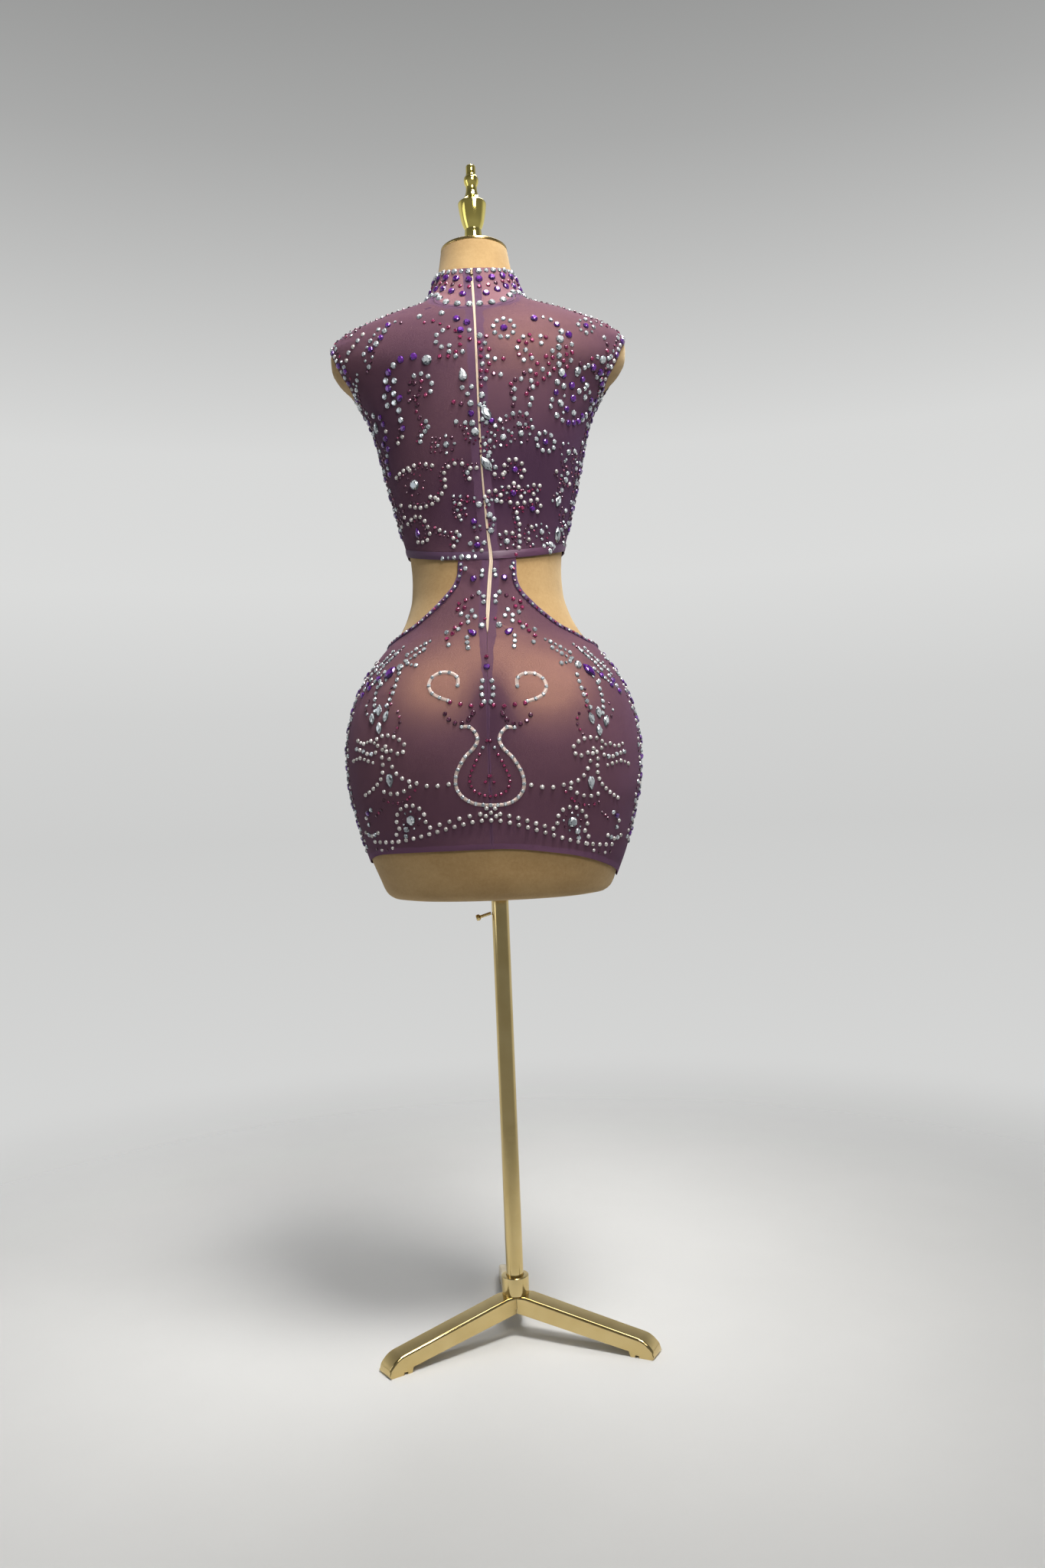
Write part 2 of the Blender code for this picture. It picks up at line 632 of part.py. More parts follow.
def leg_profile():
    """The leg's side view, out from the pole: reach and height. The last points are its upper edge."""
    toe, notch = LEG_TOE, LEG_NOTCH
    return (
        (0.0, LEG["top"]),
        (0.0, LEG["under"]),
        (LEG["flat"] / 2, LEG["under"]),
        (toe["heel"], toe["heel_height"]),
        (toe["heel"] + toe["chamfer"], 0.0),
        (notch["start"], 0.0),
        (notch["start"], notch["height"]),
        (notch["end"], notch["height"]),
        (notch["end"], 0.0),
        (LEG["reach"] - toe["chamfer"], 0.0),
        (LEG["reach"], toe["chamfer"]),
        (LEG["reach"], toe["tip_height"]),
        (toe["bend"], toe["bend_height"]),
        (LEG["flat"], LEG["top"]),
    )


def leg_mesh():
    """A bar with rounded upper edges, pointed at the hub where the three legs meet."""
    bm = bmesh.new()
    profile = leg_profile()
    half = LEG["width"] / 2
    near = [bm.verts.new((reach, -half, height)) for reach, height in profile]
    far = [bm.verts.new((reach, half, height)) for reach, height in profile]
    bm.faces.new(near)
    bm.faces.new(far)
    count = len(profile)
    for i in range(count):
        j = (i + 1) % count
        bm.faces.new((near[i], near[j], far[j], far[i]))
    bmesh.ops.recalc_face_normals(bm, faces=bm.faces)
    upper = (count - 3, count - 2, count - 1, 0)
    rounded = [bm.edges.get((row[i], row[j])) for row in (near, far) for i, j in zip(upper[:-1], upper[1:])]
    bmesh.ops.bevel(bm, geom=rounded, offset=LEG["edge"], segments=LEG["edge_steps"], profile=0.5,
                    affect="EDGES")
    for sign in (-1, 1):
        outward = Vector((-math.sin(LEG_MITRE), sign * math.cos(LEG_MITRE), 0.0))
        cut = bmesh.ops.bisect_plane(bm, geom=bm.verts[:] + bm.edges[:] + bm.faces[:],
                                     plane_co=outward * -SEAM_GAP, plane_no=outward, clear_outer=True)
        edges = [item for item in cut["geom_cut"] if isinstance(item, bmesh.types.BMEdge)]
        bmesh.ops.contextual_create(bm, geom=edges)
    return mesh_from("leg", bm)


def add_legs():
    mesh = leg_mesh()
    for number, degrees in enumerate(LEG_TURNS, start=1):
        leg = add_object(f"leg_{number}", mesh.copy(), "brass")
        leg.rotation_euler.z = math.radians(degrees)


def add_thumb_screw():
    """The clamp's thumb screw on the left of the pole, drooping a little."""
    screw = THUMB_SCREW
    radius, knob, length, edge = screw["radius"], screw["knob_radius"], screw["length"], screw["edge"]
    neck = length - screw["knob_length"]
    profile = ((0, length), (knob - edge, length), (knob, length - edge), (knob, neck + edge),
               (knob - edge, neck), (radius, neck - edge), (radius, 0), (0, 0))
    obj = add_turned("clamp_screw", profile, "brass", screw["height"], SCREW_STEPS)
    droop = math.radians(screw["droop"])
    obj.location.x = -(POLE["radius"] + FACE_GAP + radius * math.sin(droop))
    obj.rotation_euler.y = -(FRONT + droop)


def seat_reach():
    """How far the skirt reaches behind the pole's axis."""
    angles = np.linspace(LEFT, RIGHT, 181)[:, None]
    heights = np.linspace(FORM_BOTTOM, CUTOUT_SIDE_HEIGHT, 120)[None, :]
    points = lifted_point(*np.broadcast_arrays(angles, heights), CLOTH_LIFT + WALL)
    return -float(points[..., 1].min())


def rear_leg_reach():
    turn = math.radians(LEG_TURNS[0])
    return LEG["reach"] * math.sin(turn) + LEG["width"] / 2 * abs(math.cos(turn))


def clear_scene():
    for obj in list(bpy.data.objects):
        bpy.data.objects.remove(obj, do_unlink=True)


clear_scene()
COLLECTION = bpy.data.collections.new("cutout_mini_dress_on_form")
bpy.context.scene.collection.children.link(COLLECTION)
MATERIALS = {name: new_material(name) for name in LOOKS}
# The pole stands behind the middle of the whole, so that the origin is under the middle of the outline.
AXIS = bpy.data.objects.new("pole_axis", None)
COLLECTION.objects.link(AXIS)
AXIS.location.y = -(rear_leg_reach() - seat_reach()) / 2

add_form()
add_skirt()
add_bodice()
add_collar()
add_bodice_band()
add_binding("cutout_binding_left", -1)
add_binding("cutout_binding_right", 1)
add_zip()
add_neck_fittings()
add_column()
add_legs()
add_thumb_screw()
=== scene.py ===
"""The looks of a cut-out mini dress on a limbless dress form: sheer cloth, cut stones, zip, suede and brass.

Metres, +Z up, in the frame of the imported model. The back of the dress faces -Y. Angles go round the pole
from +X, the dress's right, through the front at a quarter turn. Places of stones and creases, and sizes
of stones, are in millimetres across the back or front and up from the floor.
"""

import math
from collections import namedtuple

import bmesh
import bpy
import numpy as np
from mathutils import Matrix, Vector


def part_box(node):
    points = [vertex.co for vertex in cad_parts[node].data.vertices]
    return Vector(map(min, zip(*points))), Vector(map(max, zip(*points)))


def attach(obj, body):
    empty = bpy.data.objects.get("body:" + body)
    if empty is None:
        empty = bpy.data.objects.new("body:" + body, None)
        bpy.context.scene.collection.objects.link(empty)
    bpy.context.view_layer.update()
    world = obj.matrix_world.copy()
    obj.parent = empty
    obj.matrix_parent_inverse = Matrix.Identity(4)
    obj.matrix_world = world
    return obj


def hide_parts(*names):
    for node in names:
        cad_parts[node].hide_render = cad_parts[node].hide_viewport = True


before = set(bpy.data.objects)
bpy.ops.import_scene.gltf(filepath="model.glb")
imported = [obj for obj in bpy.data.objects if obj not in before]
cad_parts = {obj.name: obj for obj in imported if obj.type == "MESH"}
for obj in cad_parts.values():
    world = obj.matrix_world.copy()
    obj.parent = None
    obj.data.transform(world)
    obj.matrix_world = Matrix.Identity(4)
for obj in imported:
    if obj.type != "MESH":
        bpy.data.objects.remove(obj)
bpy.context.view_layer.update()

POLE_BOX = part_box("pole")
AXIS_Y = (POLE_BOX[0].y + POLE_BOX[1].y) / 2

LEFT, BACK, RIGHT = math.radians(180), math.radians(270), math.radians(360)
MM = 0.001

Ring = namedtuple("Ring", "height half_width back front")
HemPoint = namedtuple("HemPoint", "degrees height")
CutoutPoint = namedtuple("CutoutPoint", "height half_width")
ZipPoint = namedtuple("ZipPoint", "height across half_width")
TurnedPoint = namedtuple("TurnedPoint", "radius height")
EdgeHeights = namedtuple("EdgeHeights", "side back front bend")
Crease = namedtuple("Crease", "at_back start end width rise")
Stone = namedtuple("Stone", "cut colour width length")
Run = namedtuple("Run", "places stones spacing")
Circle = namedtuple("Circle", "across height radius start end stones spacing")
Single = namedtuple("Single", "across height stone turn", defaults=(None,))
Flower = namedtuple("Flower", "across height middle petals radius count")
Sheet = namedtuple("Sheet", "width length area")
Template = namedtuple("Template", "points faces belt")
Light = namedtuple("Light", "place aim size power colour spread")
Brass = namedtuple("Brass", "deep light smooth rough")
Gem = namedtuple("Gem", "deep middle light metal coat")

# Sizes of the solids. The legs have finer edges here, and rounded toes.

FORM_RINGS = [Ring(*row) for row in (
    (0.5590, 0.1160, 0.0840, 0.0800),
    (0.5620, 0.1340, 0.1000, 0.0960),
    (0.5700, 0.1435, 0.1100, 0.1050),
    (0.5850, 0.1500, 0.1160, 0.1100),
    (0.6200, 0.1635, 0.1210, 0.1130),
    (0.6600, 0.1740, 0.1240, 0.1150),
    (0.7000, 0.1830, 0.1260, 0.1160),
    (0.7400, 0.1855, 0.1270, 0.1160),
    (0.7750, 0.1820, 0.1250, 0.1150),
    (0.8100, 0.1720, 0.1210, 0.1130),
    (0.8400, 0.1570, 0.1150, 0.1100),
    (0.8650, 0.1380, 0.1090, 0.1060),
    (0.8900, 0.1165, 0.1020, 0.1010),
    (0.9150, 0.1035, 0.0960, 0.0960),
    (0.9400, 0.0965, 0.0910, 0.0920),
    (0.9650, 0.0950, 0.0875, 0.0900),
    (0.9900, 0.0965, 0.0855, 0.0900),
    (1.0200, 0.1035, 0.0860, 0.0920),
    (1.0600, 0.1135, 0.0890, 0.0970),
    (1.1000, 0.1230, 0.0940, 0.1030),
    (1.1400, 0.1315, 0.0985, 0.1070),
    (1.1650, 0.1395, 0.1005, 0.1070),
    (1.1900, 0.1520, 0.1010, 0.1050),
    (1.2050, 0.1650, 0.1005, 0.1030),
    (1.2200, 0.1795, 0.0995, 0.1000),
    (1.2350, 0.1870, 0.0965, 0.0960),
    (1.2500, 0.1880, 0.0920, 0.0910),
    (1.2620, 0.1830, 0.0870, 0.0860),
    (1.2720, 0.1710, 0.0820, 0.0810),
    (1.2810, 0.1490, 0.0770, 0.0760),
    (1.2890, 0.1270, 0.0725, 0.0720),
    (1.2950, 0.1030, 0.0695, 0.0680),
    (1.3010, 0.0830, 0.0665, 0.0640),
    (1.3080, 0.0690, 0.0635, 0.0605),
    (1.3180, 0.0600, 0.0595, 0.0570),
    (1.3320, 0.0540, 0.0545, 0.0525),
    (1.3480, 0.0485, 0.0495, 0.0480),
    (1.3650, 0.0450, 0.0455, 0.0445),
    (1.3810, 0.0425, 0.0425, 0.0425),
)]
FORM_BOTTOM = FORM_RINGS[0].height
FORM_TOP = FORM_RINGS[-1].height

# Soft rises on the form, a pair of each.
BUST = {"across": 0.064, "height": 1.130, "reach_across": 0.060, "reach_up": 0.065, "rise": 0.018}
SEAT = {"across": 0.072, "height": 0.745, "reach_across": 0.062, "reach_up": 0.075, "rise": 0.006}

SEAM_GAP = 0.0003
CLOTH_LIFT = 0.0015
WALL = 0.0011
DOUBLED_WALL = 0.0016
CLOTH_OUTSIDE = CLOTH_LIFT + WALL
BINDING_WIDTH = 0.006

HEM = [HemPoint(*row) for row in (
    (0, 0.580), (45, 0.590), (90, 0.599), (135, 0.603), (180, 0.608),
    (215, 0.6205), (270, 0.623), (300, 0.614), (330, 0.597), (360, 0.580),
)]
DRESS_TILT = 0.004

CUTOUT_SIDE_HEIGHT = 0.876
CUTOUT_EDGE = [CutoutPoint(*row) for row in (
    (0.8804, 0.1176), (0.8864, 0.1060), (0.8963, 0.0860), (0.9072, 0.0713), (0.9164, 0.0604),
    (0.9273, 0.0493), (0.9360, 0.0416), (0.9454, 0.0368), (0.9557, 0.0345), (0.9900, 0.0338),
)]
CUTOUT_PANEL_SHIFT = 0.0034
CUTOUT_FRONT_SHARE = 1.12
CUTOUT_STEPS = 60

BODICE_EDGE = EdgeHeights(side=0.996, back=0.971, front=0.984, bend=1.2)
NECKLINE = EdgeHeights(side=1.309, back=1.278, front=1.284, bend=6)
COLLAR_TOP = EdgeHeights(side=1.349, back=1.338, front=1.342, bend=2)
SHOULDER_TURN = EdgeHeights(side=1.276, back=1.262, front=1.265, bend=4)
BAND_HEIGHT = 0.010

ARMHOLE_CENTRE = 1.2265
ARMHOLE_HALF_HEIGHT = 0.031
ARMHOLE_REACH = math.radians(20)
ARMHOLE_SECTION = 1

ZIP_LINE = [ZipPoint(*row) for row in (
    (0.610, -0.0040, 0.0000),
    (0.760, -0.0030, 0.0000),
    (0.879, 0.0000, 0.0000),
    (0.886, 0.0004, 0.0012),
    (0.905, 0.0014, 0.0020),
    (0.930, 0.0035, 0.0022),
    (0.955, 0.0060, 0.0021),
    (0.972, 0.0075, 0.0020),
    (0.992, 0.0060, 0.0016),
    (1.035, 0.0030, 0.0010),
    (1.100, 0.0006, 0.0010),
    (1.240, 0.0000, 0.0012),
    (1.340, -0.0028, 0.0014),
)]
ZIP_END = 0.8805
ZIP_WALL = 0.0013

NECK_CAP = {"radius": 0.0425, "thickness": 0.004, "edge": 0.0012}
FINIAL_PROFILE = [TurnedPoint(*row) for row in (
    (0.0000, 0.1080), (0.0052, 0.1080), (0.0062, 0.1070), (0.0062, 0.0965), (0.0072, 0.0945),
    (0.0092, 0.0915), (0.0095, 0.0885), (0.0090, 0.0850), (0.0072, 0.0815), (0.0069, 0.0775),
    (0.0078, 0.0720), (0.0100, 0.0665), (0.0140, 0.0625), (0.0174, 0.0600), (0.0183, 0.0585),
    (0.0178, 0.0540), (0.0165, 0.0450), (0.0145, 0.0350), (0.0118, 0.0280), (0.0105, 0.0255),
    (0.0108, 0.0235), (0.0112, 0.0170), (0.0108, 0.0080), (0.0112, 0.0000), (0.0000, 0.0000),
)]
POLE = {"radius": 0.0110, "bore": 0.0093, "edge": 0.0006}
ROD_RADIUS = 0.0093
SOCKET_DEPTH = 0.1100
HUB = {"radius": 0.0175, "bore": 0.0116, "top": 0.0740, "edge": 0.0010}
LEG = {"reach": 0.190, "width": 0.028, "top": 0.0510, "flat": 0.020, "under": 0.0300, "edge": 0.0032,
       "edge_steps": 8}
LEG_TURNS = (94, 214, 334)
LEG_MITRE = math.radians(60)
LEG_TOE = {"bend": 0.178, "bend_height": 0.0215, "tip_height": 0.010, "heel": 0.158, "heel_height": 0.0065,
           "chamfer": 0.002}
TOE_CUTS = {"tip": 0.0055, "bend": 0.0080}
TOE_STEPS = 5
LEG_NOTCH = {"start": 0.166, "end": 0.171, "height": 0.003}
FACE_GAP = 0.0003

# Sizes of the finer pieces

SHELL = 0.0005
SHELL_SKIRT_ROWS = (60, 3, 3, 5, 34)
SHELL_BODICE_ROWS = (52, 20, 6, 16)
SHELL_COLUMNS = 60
SHELL_RING_COLUMNS = 160
SHELL_COLLAR_ROWS = 16
SHELL_BAND_ROWS = 6
BINDING_STEPS = 130
BINDING_PROFILE = (0.0, 0.12, 0.3, 0.5, 0.7, 0.88, 1.0)
BINDING_HEIGHT = 0.0009
BAND_SWELL = 0.0007

FORM_COLUMNS = 160
FORM_ROW_STEP = 0.006
FINE_TURN_STEPS = 72

# Soft creases: where each starts and ends, across and up in millimetres, its half width
# and how far it rises. A rise below zero is a trough.
CREASES = [Crease(*row) for row in (
    (True, (-29, 966), (-6, 944), 4.0, 0.9),
    (True, (-33, 952), (-9, 928), 5.0, -0.6),
    (True, (38, 964), (14, 940), 4.0, 0.9),
    (True, (36, 948), (16, 922), 5.0, -0.6),
    (True, (12, 972), (9, 930), 3.5, 0.8),
    (True, (-4, 972), (-1, 936), 3.5, 0.7),
    (True, (-3, 878), (-4, 842), 4.5, 0.8),
    (True, (-150, 1188), (-108, 1160), 6.0, 0.8),
    (True, (-152, 1176), (-112, 1146), 6.0, -0.6),
    (True, (150, 1186), (106, 1156), 6.0, 0.8),
    (True, (148, 1174), (112, 1140), 6.0, -0.6),
    (True, (-70, 628), (20, 631), 4.0, 0.7),
    (True, (40, 619), (120, 604), 4.0, 0.8),
    (True, (-130, 622), (-60, 625), 4.0, -0.5),
    (False, (-34, 968), (-8, 946), 4.0, 0.8),
    (False, (36, 966), (10, 940), 4.5, 0.9),
    (False, (-4, 976), (2, 936), 4.0, -0.5),
    (False, (-148, 1186), (-96, 1158), 6.0, 0.8),
    (False, (150, 1188), (100, 1152), 6.0, 0.9),
    (False, (-110, 1076), (-58, 1092), 6.5, -0.5),
    (False, (112, 1070), (62, 1090), 6.5, 0.7),
    (False, (-90, 606), (10, 609), 4.0, 0.7),
    (False, (30, 606), (110, 600), 4.0, 0.6),
)]
CREASE_END = {"share": 0.02, "bend": 0.6}
LEAST_LIFT = 0.0010

# Where the cloth lies doubled: beside the zip, at the hem and along the seams.
TAPE_STRIP = 0.0105
HEM_STRIP = 0.028
HEM_FOLD = 0.0065
SEAM_STRIP = 0.0018
NECK_SEAM = 0.0030
BACK_PATCH = {"top": 0.884, "bottom": 0.800, "top_half": 0.0120, "bottom_half": 0.0035, "bend": 0.7}
NO_STRIP = -1.0

# Where the cloth shows more of the suede, or less of it, below zero: partly where it is stretched or lies
# slack, partly painted light on the lit top of the seat and the shoulder blade, and painted shade in the
# seat's cleft, low on the bodice, under the armholes and low on the skirt. Across, height, reach across,
# reach up and how much.
# The front gets a share of the lighter places.
FRONT_SHARE_OF_STRETCH_AND_LIGHT = 0.35
STRETCH_AND_PAINTED_LIGHT = (
    (0.066, 0.816, 0.046, 0.038, 0.85),
    (-0.062, 0.818, 0.044, 0.036, 0.70),
    (0.002, 0.775, 0.020, 0.045, -0.7),
    (0.000, 0.858, 0.052, 0.030, 0.45),
    (0.062, 1.232, 0.072, 0.042, 0.25),
    (-0.070, 1.220, 0.060, 0.060, -0.35),
    (0.050, 1.105, 0.060, 0.040, -0.5),
    (0.030, 1.040, 0.120, 0.065, -1.0),
    (0.000, 0.665, 0.200, 0.050, -0.25),
    (-0.120, 1.140, 0.040, 0.060, -0.5),
    (0.120, 1.120, 0.040, 0.060, -0.5),
)

# The band's right side, from the zip outward, is glossier and painted a lighter purple as painted sheen, and
# the band has a small fold beside the zip.
BAND_GLOSS_AND_PAINTED_SHEEN = {"start": 0.004, "grows_over": 0.006, "end": 0.098, "fades_over": 0.03, "in_front": 0.35}
BAND_FOLD = {"across": 0.016, "reach": 0.007, "rise": 0.001}

ZIP_GRID = {"rows": 220, "columns": 8}
ZIP_LIPS = {"groove": 0.62, "rise": 0.38, "inner": 0.45, "outer": 0.9, "bend": 4}
TOOTH = {"pitch": 0.0016, "along": 0.0009, "across": 0.0009, "depth": 0.0005, "top_share": 0.72,
         "aside": 0.12, "first": 5, "left_out": 6}

# Angles in degrees past which an edge stays sharp.
SHARP = {"cloth": 55, "form": 60, "turned": 38, "leg": 24, "teeth": 30, "thread": 80, "pearl": 80,
         "profile": 50}


# The form's surface


def smooth_column(rows, column, at):
    """A column of a table read anywhere along its first one, as a curve that never overshoots its rows."""
    xs = np.array([row[0] for row in rows], float)
    ys = np.array([getattr(row, column) for row in rows], float)
    at = np.clip(np.asarray(at, float), xs[0], xs[-1])
    steps = np.diff(xs)
    slopes = np.diff(ys) / steps
    same_way = slopes[:-1] * slopes[1:] > 0
    safe = np.where(same_way, slopes[:-1] + slopes[1:], 1.0)
    inner = np.where(same_way, 2 * slopes[:-1] * slopes[1:] / safe, 0.0)
    tangents = np.concatenate([[slopes[0]], inner, [slopes[-1]]])
    row = np.clip(np.searchsorted(xs, at, side="right") - 1, 0, len(steps) - 1)
    step = steps[row]
    t = (at - xs[row]) / step
    start = (1 + 2 * t) * (1 - t) ** 2 * ys[row] + t * (1 - t) ** 2 * step * tangents[row]
    end = t**2 * (3 - 2 * t) * ys[row + 1] - t**2 * (1 - t) * step * tangents[row + 1]
    return start + end


def rise_of(pair, x, z):
    """How far a pair of soft rises lifts the form at a place on it."""
    across = (np.abs(x) - pair["across"]) / pair["reach_across"]
    up = (z - pair["height"]) / pair["reach_up"]
    return pair["rise"] * np.exp(-(across**2) - up**2)


def form_point(angle, height):
    """The point of the form's surface at an angle about the pole and a height."""
    half_width = smooth_column(FORM_RINGS, "half_width", height)
    back = smooth_column(FORM_RINGS, "back", height)
    front = smooth_column(FORM_RINGS, "front", height)
    x = half_width * np.cos(angle)
    facing = np.sin(angle)
    y = np.where(facing > 0, front, back) * facing
    y = y + rise_of(BUST, x, height) * np.clip(facing, 0, 1)
    y = y + rise_of(SEAT, x, height) * np.clip(facing, -1, 0)
    return np.stack(np.broadcast_arrays(x, y + AXIS_Y, height), axis=-1)


def form_slopes(angle, height):
    """How the surface point moves with the angle and with the height."""
    turn = 0.002
    climb = 0.0006
    by_angle = (form_point(angle + turn, height) - form_point(angle - turn, height)) / (2 * turn)
    low = np.clip(height - climb, FORM_BOTTOM, FORM_TOP)
    high = np.clip(height + climb, FORM_BOTTOM, FORM_TOP)
    by_height = (form_point(angle, high) - form_point(angle, low)) / (high - low)[..., None]
    return by_angle, by_height


def form_normal(angle, height):
    by_angle, by_height = form_slopes(angle, height)
    normal = np.cross(by_angle, by_height)
    return normal / np.linalg.norm(normal, axis=-1, keepdims=True)


def lifted_point(angle, height, lift):
    """A point on the form moved out along its normal, by one amount or by an amount for each point."""
    angle, height = np.broadcast_arrays(np.asarray(angle, float), np.asarray(height, float))
    lift = np.broadcast_to(np.asarray(lift, float), angle.shape)
    return form_point(angle, height) + form_normal(angle, height) * lift[..., None]


def make_side_profile():
    """Heights against the length of the form's side, so that rows of cloth come evenly over the shoulder."""
    points = 400
    heights = np.linspace(FORM_BOTTOM, FORM_TOP, points)
    widths = smooth_column(FORM_RINGS, "half_width", heights)
    lengths = np.concatenate([[0], np.cumsum(np.hypot(np.diff(widths), np.diff(heights)))])
    return heights, lengths


SIDE_HEIGHTS, SIDE_LENGTHS = make_side_profile()


def height_between(low, high, share):
    """The height a share of the way along the side from one height to another."""
    start = np.interp(low, SIDE_HEIGHTS, SIDE_LENGTHS)
    end = np.interp(high, SIDE_HEIGHTS, SIDE_LENGTHS)
    return np.interp(start + (end - start) * share, SIDE_LENGTHS, SIDE_HEIGHTS)


def angle_at(x, height, at_back):
    """The angle at which the form's ring passes a place across it, on its back or its front."""
    half_width = smooth_column(FORM_RINGS, "half_width", height)
    turn = np.arccos(np.clip(x / half_width, -1, 1))
    return 2 * math.pi - turn if at_back else turn


def edge_height(levels, angle):
    """The height of a level edge that has its own height at the side, the back and the front."""
    facing = np.sin(angle)
    middle = np.where(facing > 0, levels.front, levels.back)
    return levels.side + (middle - levels.side) * np.abs(facing) ** levels.bend


def lengths_along(points):
    """The length along a line from its first point to each of its points."""
    return np.concatenate([[0], np.cumsum(np.linalg.norm(np.diff(points, axis=0), axis=1))])


def hem_height(angle):
    return smooth_column(HEM, "height", np.degrees(angle) % 360)


def zip_across(height):
    return smooth_column(ZIP_LINE, "across", height)


def zip_half_width(height):
    return np.interp(height, [row.height for row in ZIP_LINE], [row.half_width for row in ZIP_LINE])


def seam_half_gap(height):
    """Half the distance between the two back panels: the seam's, or the zip's with a seam at each side."""
    half = zip_half_width(height)
    return np.where(half > 0, half + SEAM_GAP, SEAM_GAP / 2)


def centre_back(side):
    """The centre-back edge of the panel on one side: -1 is the left, +1 the right."""
    return lambda height: angle_at(zip_across(height) + side * seam_half_gap(height), height, True)


def side_seam(at, turn):
    """A side edge at one of the form's sides, half a seam's gap away in the direction of turn."""
    return lambda height: at + turn * SEAM_GAP / 2 / smooth_column(FORM_RINGS, "back", height)


def armhole_reach(height):
    """How far round from the side an armhole's edge lies."""
    share = np.clip(1 - ((height - ARMHOLE_CENTRE) / ARMHOLE_HALF_HEIGHT) ** 2, 0, 1)
    return ARMHOLE_REACH * np.sqrt(share)


def armhole_edge(at, turn):
    """A bodice panel's side edge: the side seam, the armhole and the shoulder seam in one."""
    seam = side_seam(at, turn)
    return lambda height: seam(height) + turn * armhole_reach(height)


def side_start(side, at_back):
    """Where a back or front panel of the skirt starts at one side, and which way round it goes from there."""
    if side < 0:
        return LEFT, 1 if at_back else -1
    return (RIGHT, -1) if at_back else (0.0, 1)


def cutout_curve(side, at_back):
    """The cut-out's edge as angles and heights, from the side up to the bodice: side -1 is left, +1 right."""
    at, turn = side_start(side, at_back)
    bottom, top = CUTOUT_EDGE[0].height, CUTOUT_EDGE[-1].height
    heights = np.linspace(bottom, top, CUTOUT_STEPS)
    climbed = (heights - bottom) / (top - bottom)
    wider = 1.0 if at_back else 1 + (CUTOUT_FRONT_SHARE - 1) * climbed
    across = side * smooth_column(CUTOUT_EDGE, "half_width", heights) * wider + CUTOUT_PANEL_SHIFT * climbed
    heights = heights - side * DRESS_TILT
    low = CUTOUT_SIDE_HEIGHT - side * DRESS_TILT
    first = side_seam(at, turn)(low)
    return np.concatenate([[first], angle_at(across, heights, at_back)]), np.concatenate([[low], heights])


def skirt_edge(side, at_back):
    """A skirt panel's side edge: the side seam up to the cut-out's lowest point, then the cut-out's edge."""
    angles, heights = cutout_curve(side, at_back)
    seam = side_seam(*side_start(side, at_back))
    return lambda height: np.where(height <= heights[0], seam(height), np.interp(height, heights, angles))


def section_shares(count, rounded):
    """How far up a section each of its rows is: evenly, or closer together at both ends."""
    even = np.linspace(0, 1, count + 1)
    return (1 - np.cos(math.pi * even)) / 2 if rounded else even


def panel_grid(span, edges, levels, rows, columns, rounded_section=None):
    """Angles and heights of a panel's points, between two side edges and through a list of levels.

    A side edge gives its angle at a height and a level its height at an angle, so a few passes settle both.
    """
    passes = 6
    shares = np.linspace(0, 1, columns + 1)
    angles = np.tile(span[0] + (span[1] - span[0]) * shares, (sum(rows) + 1, 1))
    for _ in range(passes):
        heights = np.empty_like(angles)
        done = 0
        for section, (low, high, count) in enumerate(zip(levels[:-1], levels[1:], rows)):
            for step, share in enumerate(section_shares(count, section == rounded_section)):
                row = angles[done + step]
                heights[done + step] = height_between(low(row), high(row), share)
            done += count
        first, last = edges[0](heights), edges[1](heights)
        angles = first + (last - first) * shares
    return angles, heights


def level(value):
    return lambda angles: np.full(np.shape(angles), float(value))


def tilted_level(value):
    """A level that follows the dress's tilt from its left side down to its right."""
    return lambda angles: value - DRESS_TILT * np.cos(angles)


def edge_level(levels, shift=0.0):
    return lambda angles: edge_height(levels, angles) + shift


# Materials


# Values set on the surfaces' own sockets.
FINISHES = {
    "sheer_purple_mesh": {"Roughness": 0.80, "Sheen Weight": 0.15, "Sheen Roughness": 0.30,
                          "Sheen Tint": (0.58, 0.34, 0.80, 1.0), "Specular IOR Level": 0.12},
    "doubled_purple_mesh": {"Sheen Weight": 0.14, "Sheen Roughness": 0.40,
                            "Sheen Tint": (0.70, 0.42, 0.80, 1.0), "Specular IOR Level": 0.2},
    "satiny_purple_band": {"Sheen Weight": 0.20, "Sheen Roughness": 0.35,
                           "Sheen Tint": (0.85, 0.55, 0.90, 1.0), "Specular IOR Level": 0.35},
    "dark_purple_binding": {"Roughness": 0.66, "Sheen Weight": 0.35, "Sheen Roughness": 0.4,
                            "Sheen Tint": (0.62, 0.42, 0.80, 1.0), "Specular IOR Level": 0.3},
    "cream_zip_tape": {"Roughness": 0.62, "Sheen Weight": 0.15, "Specular IOR Level": 0.35},
    "cream_zip_teeth": {"Specular IOR Level": 0.5},
    "tan_suede": {"Roughness": 0.92, "Sheen Weight": 0.30, "Sheen Roughness": 0.55,
                  "Sheen Tint": (1.0, 0.86, 0.62, 1.0), "Specular IOR Level": 0.15},
    "pearl_bead": {"Metallic": 0.35, "Roughness": 0.20, "Coat Weight": 0.5, "Coat Roughness": 0.08,
                   "Specular IOR Level": 0.6},
    "pale_silver_thread": {"Metallic": 0.15, "Roughness": 0.45, "Sheen Weight": 0.2, "Sheen Roughness": 0.4},
    "studio_floor": {"Roughness": 0.85, "Specular IOR Level": 0.2},
}

